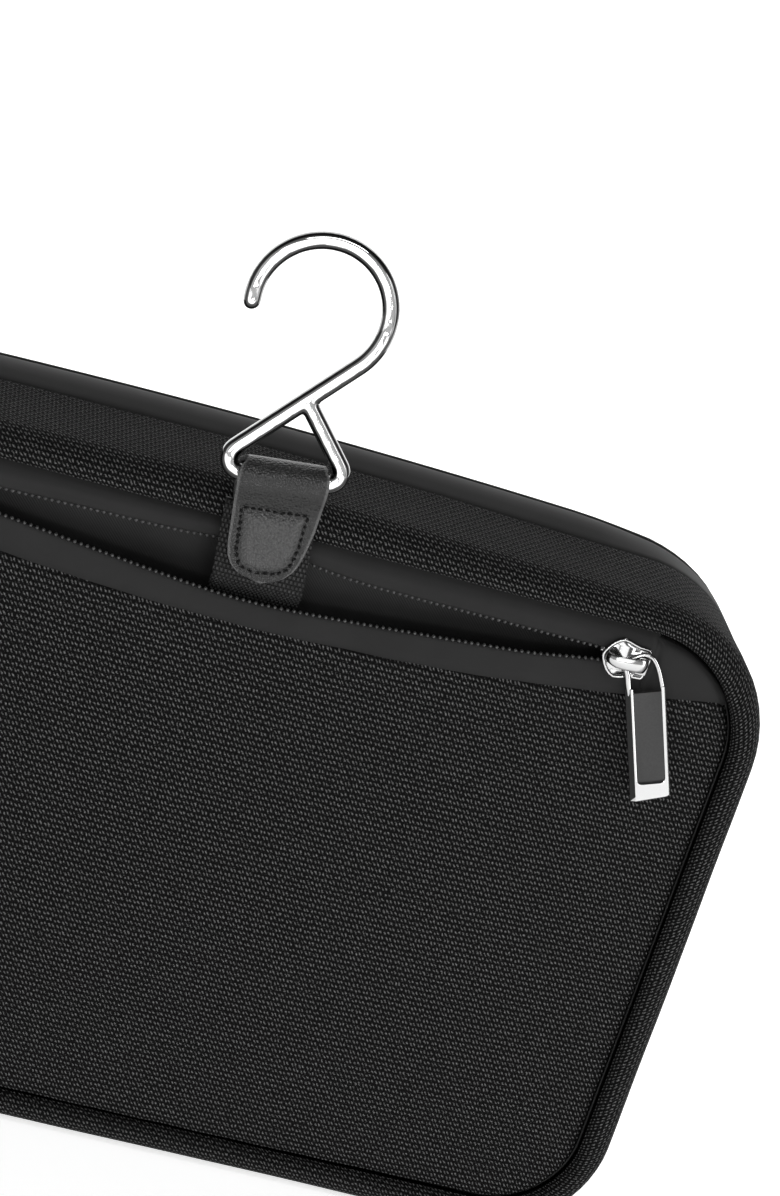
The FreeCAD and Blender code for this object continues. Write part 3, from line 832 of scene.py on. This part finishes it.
lidPanel = gridSheet("lidPanel", lidGrid["columns"], lidGrid["rows"], lidPanelPlace,
                     lambda i, j: lidPanelPlace(i, j)[::2])
mergeAndFlip(lidPanel, lambda c: (0, 1, 0))
thicken(lidPanel, 1.4 * mm)
finishPiece(lidPanel, "lid", weaveMaterial, ["lid_panel"])
tray("lidLining", "lid", "lid_lining", inMm((5.2, 4.5), (6.0, 15), (8.2, 24), (12.4, 33), (17.0, 37.4), (21, 38.4)))
for node in ("main_teeth_front", "main_teeth_lid"):
    frame["nodes"][node].data.materials.clear()
    frame["nodes"][node].data.materials.append(coilMaterial)
print("back half shaped")


bar = jointAt["hook_fold"]
barAt = Vector(bar["pos_m"])
foldAt = Vector(jointAt["strap_fold"]["pos_m"])
barTilt = math.atan2(bar["axis"][2], bar["axis"][0])
strap = {
    "middle": -0.4 * mm, "width": 25 * mm, "webbing": 1.5 * mm, "leather": 1.35 * mm, "loop": 4.9 * mm,
    "neck": 8.5 * mm, "tabLength": 29.2 * mm, "columns": 20, "webbingTop": barAt.z - 9 * mm,
}


def tilted(x, y, z):
    # a place given with the bar level, leaned so that the bar rises to the right
    c, s = math.cos(barTilt), math.sin(barTilt)
    dz = z - barAt.z
    return x * c - dz * s, y, barAt.z + x * s + dz * c


webbingPath = [(0.0, strap["webbingTop"] - (strap["webbingTop"] - foldAt.z - 1 * mm) * k / 8) for k in range(9)]
webbingDrop = ((0.25, 0.5), (1.5, 2.0), (3.6, 3.6), (5.4, 5.2), (6.6, 7.2), (7.7, 10), (8.8, 14), (9.6, 19),
               (9.9, 26), (9.9, 42))
webbingPath += [(back * mm, foldAt.z - drop * mm) for back, drop in webbingDrop]
webbingRun = [0.0]
for (a, b), (c, d) in zip(webbingPath, webbingPath[1:]):
    webbingRun.append(webbingRun[-1] + math.hypot(c - a, d - b))


def webbingPlace(i, j):
    share = i / strap["columns"] - 0.5
    across = strap["width"] * share
    back, z = webbingPath[j]
    lean = math.tan(barTilt) * (barAt.z - z)
    edge = 0.25 * mm * (2 * abs(share)) ** 6
    return strap["middle"] - 1.3 * mm + across + lean, barAt.y - strap["webbing"] / 2 + back + edge, z


webbing = gridSheet("strapWebbing", strap["columns"], len(webbingPath) - 1, webbingPlace,
                    lambda i, j: (strap["width"] * i / strap["columns"], webbingRun[j]))
mergeAndFlip(webbing, forwards)
thicken(webbing, strap["webbing"])
finishPiece(webbing, None, webbingMaterial, ["strap_webbing", "strap_anchor"])
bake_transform(webbing)

# the leather goes up the front, round the bar and down the back
flapY = strap["webbing"] / 2 + 0.05 * mm + strap["leather"]
tabPath = []
for k in range(30):
    tabPath.append((-flapY, -strap["tabLength"] + (strap["tabLength"] - strap["neck"]) * k / 29))
for k in range(1, 8):
    t = ease(k / 8)
    tabPath.append((-flapY - (strap["loop"] - flapY) * t, -strap["neck"] + strap["neck"] * k / 8 - 0.6 * mm))
for k in range(0, 19):
    a = math.pi - math.pi * k / 18
    tabPath.append((strap["loop"] * math.cos(a), strap["loop"] * math.sin(a)))
front = list(tabPath[:37])
tabPath += [(-y, z) for y, z in reversed(front)]

# the tab's height above the bar's middle, and its left and right edges there, in mm
tabEdge = [(5.0, -10.0, 10.2), (3.0, -12.0, 11.6), (0.0, -12.4, 11.8), (-8.0, -12.0, 11.3), (-13.2, -11.8, 10.6),
           (-19.0, -11.6, 9.3), (-22.5, -11.1, 8.2), (-25.0, -9.9, 6.9), (-27.0, -7.9, 4.9), (-28.4, -4.8, 2.6),
           (-29.2, -1.6, -0.9)]


def tabSpan(z):
    # the tab's left and right edges at a height above the bar's middle
    for (za, la, ra), (zb, lb, rb) in zip(tabEdge, tabEdge[1:]):
        if z >= zb * mm:
            t = max(0.0, min(1.0, (za * mm - z) / ((za - zb) * mm)))
            return (la + (lb - la) * t) * mm, (ra + (rb - ra) * t) * mm
    return tabEdge[-1][1] * mm, tabEdge[-1][2] * mm


stitchLine = [(-9.5, -8.9), (8.1, -8.9), (7.2, -18.5), (5.5, -24.2), (2.6, -26.1), (-3.4, -26.7), (-7.6, -25.2),
              (-9.0, -21.5)]
stitchRuns = list(zip(stitchLine, stitchLine[1:] + stitchLine[:1]))


def sewnDepth(x, z):
    # how far a point lies inside the sewn box, negative outside it
    best = 1.0
    for (xa, za), (xb, zb) in stitchRuns:
        run = math.hypot(xb - xa, zb - za)
        best = min(best, ((xb - xa) * (za - z / mm) - (zb - za) * (xa - x / mm)) / run * mm)
    return best


tabColumns = 44


def tabPlace(i, j):
    y, z = tabPath[j]
    u = 2 * i / tabColumns - 1
    left, right = tabSpan(z)
    x = (left + right) / 2 + u * (right - left) / 2
    if y < 0 and z < -strap["neck"] + 2 * mm:
        inside = sewnDepth(x, z)
        y -= 0.95 * mm * ease((inside - 0.2 * mm) / (2.6 * mm))
        y += 0.35 * mm * math.exp(-(inside / (0.45 * mm)) ** 2)
    edge = 0.25 * mm * abs(u) ** 10
    return tilted(x, barAt.y + y + (edge if y < 0 else -edge), barAt.z + z)


tab = gridSheet("leatherTab", tabColumns, len(tabPath) - 1, tabPlace)
mergeAndFlip(tab, lambda c: (0, c.y - barAt.y, c.z - barAt.z - 4 * mm if c.z > barAt.z else 0))
thicken(tab, strap["leather"])
smoothEdges(tab, 0.3 * mm, 2, 50)
boxMark = tab.data.attributes.new("sewnBox", "FLOAT", "POINT")
for v in tab.data.vertices:
    c, sn = math.cos(barTilt), math.sin(barTilt)
    dz = v.co.z - barAt.z
    inside = sewnDepth(v.co.x * c + dz * sn, dz * c - v.co.x * sn)
    boxMark.data[v.index].value = ease((inside - 0.3 * mm) / (1.2 * mm)) if v.co.y < barAt.y else 0.0
finishPiece(tab, "strap", leatherMaterial, ["leather_tab"])

places = []
for (xa, za), (xb, zb) in stitchRuns:
    run = math.hypot(xb - xa, zb - za)
    count = max(1, round(run / 1.9))
    for k in range(count):
        t = (k + 0.5) / count
        spot = tilted((xa + (xb - xa) * t) * mm, barAt.y - flapY - 0.02 * mm, barAt.z + (za + (zb - za) * t) * mm)
        turn = math.atan2(zb - za, xb - xa) + barTilt
        places.append(Matrix.Translation(spot) @ Matrix.Rotation(-turn, 4, "Y"))
stitches = copyAlong("tabStitching", coilTurn((0.72 * mm, 0.24 * mm, 0.24 * mm)), places)
finishPiece(stitches, "strap", threadMaterial, ["tab_stitching"])


def wire(name, points, radius, radii=None, sides=8):
    # a round wire along points
    data = bpy.data.curves.new(name, "CURVE")
    data.dimensions = "3D"
    data.bevel_depth = radius
    data.bevel_resolution = sides
    spline = data.splines.new("POLY")
    spline.points.add(len(points) - 1)
    for k, p in enumerate(points):
        spline.points[k].co = (*p, 1.0)
        spline.points[k].radius = radii[k] if radii else 1.0
    obj = bpy.data.objects.new(name, data)
    bpy.context.scene.collection.objects.link(obj)
    data.use_fill_caps = True
    pick(obj)
    bpy.ops.object.convert(target="MESH")
    obj = bpy.context.object
    bpy.ops.object.shade_smooth()
    return obj


hookShape = {
    "wire": 2.45 * mm, "lean": math.radians(5.6), "ring": 18.1 * mm, "ringX": -3.3 * mm, "ringV": 45.7 * mm,
    "left": -20.8 * mm, "right": 17.95 * mm, "join": 0.664, "tip": math.radians(188.0),
    "bendLeft": 3.7 * mm, "bendRight": 3.4 * mm,
}


def hookPlace(x, v):
    # x along the bar, v up the hook; the hook leans back about the bar
    c, s = math.cos(barTilt), math.sin(barTilt)
    along, up = x * c + v * s, -x * s + v * c
    back = up * math.sin(hookShape["lean"])
    up *= math.cos(hookShape["lean"])
    return Vector((along * c - up * s, barAt.y + back, barAt.z + along * s + up * c))

def bend(corner, before, after, radius, steps=10):
    # a rounded corner between two straight runs
    a = Vector((before[0] - corner[0], before[1] - corner[1])).normalized()
    b = Vector((after[0] - corner[0], after[1] - corner[1])).normalized()
    half = a.angle(b) / 2
    middle = (a + b).normalized()
    c = Vector(corner) + middle * (radius / math.sin(half))
    start = Vector(corner) + a * (radius / math.tan(half))
    end = Vector(corner) + b * (radius / math.tan(half))
    a0, a1 = math.atan2(*(start - c).yx), math.atan2(*(end - c).yx)
    turn = (a1 - a0 + math.pi) % (2 * math.pi) - math.pi
    turns = [a0 + turn * k / steps for k in range(steps + 1)]
    return [tuple(c + Vector((math.cos(a), math.sin(a))) * radius) for a in turns]


slopeBar = math.tan(barTilt)
leftCorner = (hookShape["left"], hookShape["left"] * slopeBar)
rightCorner = (hookShape["right"], hookShape["right"] * slopeBar)
ringCentre = (hookShape["ringX"], hookShape["ringV"])
reach = math.dist(leftCorner, ringCentre)
slope = math.atan2(ringCentre[1] - leftCorner[1], ringCentre[0] - leftCorner[0]) - math.asin(hookShape["ring"] / reach)
run = math.sqrt(reach ** 2 - hookShape["ring"] ** 2)
touch = (leftCorner[0] + run * math.cos(slope), leftCorner[1] + run * math.sin(slope))
joined = hookShape["join"] * run
join = (leftCorner[0] + joined * math.cos(slope), leftCorner[1] + joined * math.sin(slope))
endAngle = math.atan2(touch[1] - ringCentre[1], touch[0] - ringCentre[0])
flatPath, radii = [], []


def onRing(angle):
    return ringCentre[0] + hookShape["ring"] * math.cos(angle), ringCentre[1] + hookShape["ring"] * math.sin(angle)


# the rounded tip, then round the ring and down to the triangle
for k in range(6, 0, -1):
    flatPath.append(onRing(hookShape["tip"] + hookShape["wire"] / hookShape["ring"] * math.sin(k / 6 * math.pi / 2)))
    radii.append(max(math.cos(k / 6 * math.pi / 2), 0.03))
flatPath += [onRing(hookShape["tip"] + (endAngle - hookShape["tip"]) * k / 60) for k in range(61)]
flatPath += bend(leftCorner, touch, rightCorner, hookShape["bendLeft"])
flatPath += bend(rightCorner, leftCorner, join, hookShape["bendRight"]) + [join]
radii += [1.0] * (len(flatPath) - len(radii))
hook = wire("hook", [hookPlace(*p) for p in flatPath], hookShape["wire"], radii, 10)
applyModifier(hook, "REMESH", mode="VOXEL", voxel_size=0.34 * mm)
applyModifier(hook, "SMOOTH", factor=0.5, iterations=30)
pick(hook)
bpy.ops.object.shade_smooth()
finishPiece(hook, "hook", chromeMaterial, ["hook"])
print("strap and hook shaped")

sliderShape = {"nose": 7.0, "tail": 6.3, "wing": 5.8, "plate": 1.6, "gap": 4.4}
pocketTunnel = Vector(jointAt["pocket_pull"]["pos_m"])


def axesMatrix(x, y, z, origin):
    return Matrix(((x.x, y.x, z.x, origin.x), (x.y, y.y, z.y, origin.y), (x.z, y.z, z.z, origin.z), (0, 0, 0, 1)))


def placePiece(obj, x, out, origin):
    # from the slider's own axes (x to the tail, -y outwards) to its place on the bag
    y = out * -1
    obj.data.transform(axesMatrix(x, y, x.cross(y), origin))
    obj.data.update()
    return obj


def shieldOutline():
    s = sliderShape
    half = [(-s["nose"], 0.0), (-6.7, 1.2), (-5.9, 2.7), (-4.9, 4.1), (-3.6, 5.2), (-2.2, s["wing"]), (-0.7, 5.6),
            (0.9, 5.1), (2.6, 4.7), (4.2, 4.6), (5.4, 4.5), (5.9, 3.9), (6.1, 2.6), (s["tail"], 1.2)]
    return half + [(x, -z) for x, z in reversed(half[1:])]


def outlineFace(points, y):
    # a flat face with an outline in mm, left in edit mode
    deselectAll()
    bpy.ops.mesh.primitive_circle_add(vertices=len(points), radius=1.0, fill_type="NGON")
    obj = bpy.context.object
    for v, (x, z) in zip(obj.data.vertices, points):
        v.co = (x * mm, y, z * mm)
    enterEdit()
    return obj


def blockOf(location, size):
    deselectAll()
    bpy.ops.mesh.primitive_cube_add(size=1.0, location=location, scale=size)
    bpy.ops.object.transform_apply(location=True, rotation=True, scale=True)
    return bpy.context.object


def joinInto(obj, pieces):
    deselectAll()
    for piece in pieces:
        piece.select_set(True)
    obj.select_set(True)
    bpy.context.view_layer.objects.active = obj
    bpy.ops.object.join()
    return obj


def sliderPlate(name):
    # shield plate with a raised rim, a dark groove inside it and a flat middle
    points = shieldOutline()
    front = outlineFace(points, 0.45 * mm)
    front.name = front.data.name = name
    bpy.ops.mesh.normals_make_consistent(inside=False)
    bpy.ops.mesh.extrude_region_move(TRANSFORM_OT_translate={"value": (0, -0.25 * mm, 0)})
    bpy.ops.mesh.inset(thickness=0.12 * mm, depth=0)
    bpy.ops.transform.translate(value=(0, -0.2 * mm, 0))
    bpy.ops.mesh.inset(thickness=0.4 * mm, depth=0)
    bpy.ops.mesh.inset(thickness=0.35 * mm, depth=0)
    bpy.ops.transform.translate(value=(0, 0.4 * mm, 0))
    bpy.ops.mesh.inset(thickness=0.05 * mm, depth=0)
    leaveEdit()
    low = (sliderShape["plate"] + sliderShape["gap"]) * mm
    layers = []
    for outlined, y in ((points, 0.45 * mm), ([(x * 0.92, z * 0.9) for x, z in points], low)):
        layers.append(outlineFace(outlined, y))
        bpy.ops.mesh.extrude_region_move(TRANSFORM_OT_translate={"value": (0, 1.1 * mm, 0)})
        leaveEdit()
    post = blockOf((-4.8 * mm, (1.5 * mm + low) / 2, 0), (2.2 * mm, low - 1.3 * mm, 1.3 * mm))
    joinInto(front, layers + [post])
    mergeAndFlip(front)
    smoothEdges(front, 0.12 * mm, 2, 25)
    return front


def sliderCrown(name):
    # bridge over the plate: a broad rounded strap with a stepped foot at the tail
    path = [(-5.5, 0.3), (-5.4, -0.9), (-5.0, -1.9), (-4.2, -2.75), (-3.0, -3.2), (-1.4, -3.42), (0.4, -3.48),
            (2.2, -3.42), (3.7, -3.2), (4.6, -2.6), (5.05, -1.7), (5.2, -0.7), (5.2, 0.3)]
    obj = wire(name, [(x * mm, y * mm, 0) for x, y in path], 0.62 * mm, None, 5)
    for v in obj.data.vertices:
        x = v.co.x / mm
        v.co.z *= 3.05 - 0.85 * ease((-x - 2.0) / 3.5) + 0.15 * ease((x - 1) / 3)
        v.co.z += (0.2 + 0.05 * x) * mm
    for place, size in (((4.4, -0.7, -0.2), (3.0, 1.4, 5.0)), ((2.2, -0.25, -3.6), (1.6, 0.9, 1.4))):
        foot = blockOf([c * mm for c in place], [c * mm for c in size])
        smoothEdges(foot, 0.3 * mm, 2, 30)
        joinInto(obj, [foot])
    bpy.ops.object.shade_smooth_by_angle(angle=math.radians(50))
    return obj


pullerShape = {
    "left": -1.05, "right": 10.0, "start": 7.6, "length": 40.2, "thick": 1.9, "corner": 1.5,
    "holeLeft": 0.95, "holeRight": 8.75, "holeLow": 35.4, "inlayTop": 8.9, "chamfer": 1.4,
}


def pullerLoop(sideLeg, x0, x1):
    # the wire's points and its thickness at each
    low = -pullerShape["start"] - 1.2
    if sideLeg:
        loop = [(0.1, low - 3.2), (0.05, low), (-0.1, -6.2), (-0.12, -4.6), (-0.2, -3.4), (-0.45, -2.2), (-0.45, -1.1),
                (0, 0), (0.7, 0.55), (1.6, 0.95), (3.0, 1.45), (4.5, 1.65), (5.9, 1.35), (6.95, 0.55), (7.7, -0.75),
                (8.25, -2.4), (8.65, -4.2), (8.95, -6.2), (9.25, low)]
        return loop, [0.3, 0.8, 0.95, 0.95, 0.9, 0.85, 0.85, 0.85, 0.8, 0.72] + [0.7] * 6 + [0.72, 0.75, 0.8]
    a, b = x0 + 0.9, x1 - 0.8
    rise = [(0, low), (0, -4.0), (0.15, -2.4), (0.6, -1.2), (1.5, -0.3), (2.7, 0)]
    loop = [(a + x, z) for x, z in rise] + [(b - x, z) for x, z in reversed(rise)]
    return loop, [0.9, 0.85] + [0.8] * 8 + [0.85, 0.9]


def pullerFrame(name, sideLeg):
    # flat frame with one wide facet, hung from a wire loop; its own origin is the wire in the slider's tunnel
    p = pullerShape
    shift = 0.0 if sideLeg else -(p["left"] + p["right"]) / 2
    x0, x1 = p["left"] + shift, p["right"] + shift
    loop, thickness = pullerLoop(sideLeg, x0, x1)
    obj = wire(name, [(x * mm, 0, z * mm) for x, z in loop], 0.92 * mm, thickness, 5)
    low, r = -p["length"], p["corner"]
    points = [(x0, -p["start"]), (x0, low), (x1 - r, low + 0.75)]
    points += [(x1 - r + r * math.sin(a), low + 0.75 + r - r * math.cos(a)) for a in (0.4, 0.8, 1.2, math.pi / 2)]
    points += [(x1, -p["start"])]
    plate = slab(name + "Plate", points, p["thick"])
    half = p["thick"] / 2 * mm
    facetEdge(plate, x0 * mm, half, p["chamfer"] * mm, 0.95 * mm)
    facetEdge(plate, x1 * mm, half, 0.4 * mm, 0.4 * mm)
    hole = roundedBlock("hole", p["holeLeft"] + shift, p["holeRight"] + shift, -p["holeLow"], -p["start"] + 3, 6.0, 1.6)
    applyModifier(plate, "BOOLEAN", operation="DIFFERENCE", object=hole, solver="EXACT")
    bpy.data.objects.remove(hole)
    smoothEdges(plate, 0.1 * mm, 2, 25)
    pick(plate)
    enterEdit()
    slope = Vector((1.5 - p["left"], 0, p["length"] - 35.5))
    bpy.ops.mesh.bisect(plane_co=(x0 * mm, 0, low * mm), plane_no=(slope.z, 0, -slope.x))
    leaveEdit()
    # painted reflection: marks the slanted facet above the mitre line, whose colour is painted nearly black for the
    # dark reflection it shows
    mark = plate.data.attributes.new("darkFacet", "FLOAT", "FACE")
    for f in plate.data.polygons:
        above = (f.center.z / mm - low) * slope.x - (f.center.x / mm - x0) * slope.z > 0
        slanted = f.normal.x < -0.35 and f.normal.y < -0.45 and f.center.x < (x0 + 1.6) * mm
        mark.data[f.index].value = 1.0 if slanted and above else 0.0
    pick(plate)
    bpy.ops.object.shade_flat()  # smooth shading would bend the reflections over the wide flat faces
    joinInto(obj, [plate])
    inlay = roundedBlock(name + "Inlay", p["holeLeft"] + shift - 0.1, p["holeRight"] + shift + 0.1,
                         -p["holeLow"] - 0.1, -p["inlayTop"], p["thick"] - 0.25, 1.7)
    smoothEdges(inlay, 0.2 * mm, 2, 50)
    return obj, inlay


def slab(name, points, thick):
    # a flat plate from an outline in mm
    obj = outlineFace(points, thick / 2 * mm)
    obj.name = obj.data.name = name
    bpy.ops.mesh.extrude_region_move(TRANSFORM_OT_translate={"value": (0, -thick * mm, 0)})
    bpy.ops.mesh.select_all(action="SELECT")
    bpy.ops.mesh.normals_make_consistent(inside=False)
    leaveEdit()
    return obj


def facetEdge(obj, x, half, inwards, depth):
    # cuts a slanting facet along the upright edge at x: a plane through the front face inwards of the edge and the
    # side face depth behind the front
    side = -1 if x < 2 * mm else 1
    pick(obj)
    enterEdit()
    normal = Vector((side * depth, -inwards, 0)).normalized()
    bpy.ops.mesh.bisect(plane_co=(x - side * inwards, -half, 0), plane_no=normal, clear_outer=True, use_fill=True)
    leaveEdit()


def roundedBlock(name, x0, x1, z0, z1, thick, corner):
    # a flat block with its two lower corners rounded, sizes in mm
    obj = blockOf(((x0 + x1) / 2 * mm, 0, (z0 + z1) / 2 * mm), ((x1 - x0) * mm, thick * mm, (z1 - z0) * mm))
    obj.name = obj.data.name = name
    for v in obj.data.vertices:
        v.select = False
    for f in obj.data.polygons:
        f.select = False
    for e in obj.data.edges:
        a, b = (obj.data.vertices[k].co for k in e.vertices)
        e.select = abs(a.y - b.y) > 0.3 * mm and a.z < (z0 + 0.1) * mm
    bpy.ops.object.mode_set(mode="EDIT")
    bpy.ops.mesh.bevel(offset=corner * mm, segments=5, affect="EDGES")
    bpy.ops.object.mode_set(mode="OBJECT")
    return obj


def addSlider(label, x, out, pullerX, pullerOut, tunnel, sideLeg, bodies, nodes):
    face = tunnel - out * tunnelDepth
    pieces = [placePiece(sliderPlate(label + "Slider"), x, out, face)]
    pieces.append(placePiece(sliderCrown(label + "SliderCrown"), x, out, face))
    pieces += [placePiece(piece, pullerX, pullerOut, tunnel) for piece in pullerFrame(label + "Puller", sideLeg)]
    for piece, body, node in zip(pieces[:3], (bodies[0], bodies[0], bodies[1]), nodes):
        finishPiece(piece, body, sliderMaterial, [node])
    finishPiece(pieces[3], bodies[1], inlayMaterial, [nodes[3]])


tunnelDepth = (4.1 - 1.35) / 2 * mm
lean, lift = math.radians(20.9), math.radians(4.0)
along = Vector((math.cos(lean), 0, math.sin(lean)))
forward = Vector((0, -1, 0))
away = forward * math.cos(lift) + Vector((-math.sin(lean), 0, math.cos(lean))) * math.sin(lift)
addSlider("pocket", Vector((1, 0, 0)), forward, along, away, pocketTunnel, True, ["pocket_slider", "pocket_puller"],
          ["pocket_slider", "pocket_slider_crown", "pocket_puller_frame", "pocket_puller_inlay"])
for side, label in ((-1, "left"), (1, "right")):
    tunnel = Vector(jointAt["main_pull_" + label]["pos_m"])
    out = Vector((side, 0, 0))
    up = Vector((0, 0, 1))
    bodies = ["main_slider_" + label, "main_puller_" + label]
    starts = ("main_slider_", "main_slider_crown_", "main_puller_frame_", "main_puller_inlay_")
    nodes = [start + label for start in starts]
    addSlider("main" + label.title(), up, out, out.cross(up) * -1, out, tunnel, False, bodies, nodes)
print("sliders and pullers shaped")

studio = {
    "floor": 0.9, "glow": 0.62, "world": 0.42, "overhead": 0.1,
    "front": 17.0, "strip": 3.6, "low": 3.0, "right": 9.0, "back": 9.0,
}
deselectAll()
bpy.ops.mesh.primitive_plane_add(size=6.0, location=(0, 0.6, 0))
floor = bpy.context.object
floor.name = "floor"
floorMaterial, _, floorShader = startMaterial("paleFloor", Roughness=0.9)
floorShader.inputs["Base Color"].default_value = grey(studio["floor"])
floorShader.inputs["Emission Color"].default_value = (1, 1, 1, 1)
floorShader.inputs["Emission Strength"].default_value = studio["glow"]
floor.data.materials.append(floorMaterial)
deselectAll()
bpy.ops.mesh.primitive_plane_add(size=6.0, location=(0, 2.4, 1.5), rotation=(math.pi / 2, 0, 0))
wall = bpy.context.object
wall.name = "backdrop"
wall.data.materials.append(floorMaterial)


def softbox(name, place, aim, size, power):
    light = bpy.data.lights.new(name, "AREA")
    light.shape = "RECTANGLE"
    light.size, light.size_y = size
    light.energy = power
    lamp = bpy.data.objects.new(name, light)
    bpy.context.scene.collection.objects.link(lamp)
    lamp.location = place
    lamp.rotation_euler = (Vector(aim) - Vector(place)).to_track_quat("-Z", "Y").to_euler()


softbox("frontLight", (-0.35, -2.3, 0.95), (0, 0, 0.15), (2.4, 1.6), studio["front"])
softbox("stripLight", (0.1, -1.0, 1.5), (0, 0, 0.15), (1.3, 0.22), studio["strip"])
softbox("lowStrip", (-0.1, -1.3, 0.28), (0, 0, 0.2), (0.9, 0.07), studio["low"])
softbox("rightLight", (1.4, -0.8, 0.5), (0, 0, 0.12), (0.5, 1.2), studio["right"])
softbox("backLight", (0.0, 1.2, 1.9), (0, 2.2, 0.9), (2.4, 0.8), studio["back"])
bpy.context.scene.view_settings.view_transform = "Standard"
world = bpy.data.worlds.new("studio")
bpy.context.scene.world = world
world.use_nodes = True
sky = world.node_tree
height = splitAxes(sky, addNode(sky, "ShaderNodeTexCoord").outputs["Generated"])[2]
level = addNode(sky, "ShaderNodeMapRange", {
    "Value": height, "From Min": 0.25, "From Max": 0.7, "To Min": studio["world"], "To Max": studio["overhead"],
})
sky.links.new(level.outputs[0], sky.nodes["Background"].inputs["Strength"])
sky.nodes["Background"].inputs["Color"].default_value = (1, 1, 1, 1)
print("studio lit")

view = {
    "azimuth": -11.0, "elevation": 19.0, "roll": 18.4, "lens": 98.04, "place": (-0.11957, seamY - 0.86642, 0.46548),
}
az, el, ro = (math.radians(view[k]) for k in ("azimuth", "elevation", "roll"))
back = Vector((math.sin(az) * math.cos(el), -math.cos(az) * math.cos(el), math.sin(el)))
right = Vector((math.cos(az), math.sin(az), 0))
up = back.cross(right)
camRight = right * math.cos(ro) + up * math.sin(ro)
camUp = up * math.cos(ro) - right * math.sin(ro)
camera = bpy.data.objects.new("camera", bpy.data.cameras.new("camera"))
bpy.context.scene.collection.objects.link(camera)
camera.data.lens = view["lens"]
camera.data.sensor_width = 36.0
camera.data.clip_start = 0.05
camera.matrix_world = axesMatrix(camRight, camUp, back, Vector(view["place"]))
bpy.context.scene.camera = camera
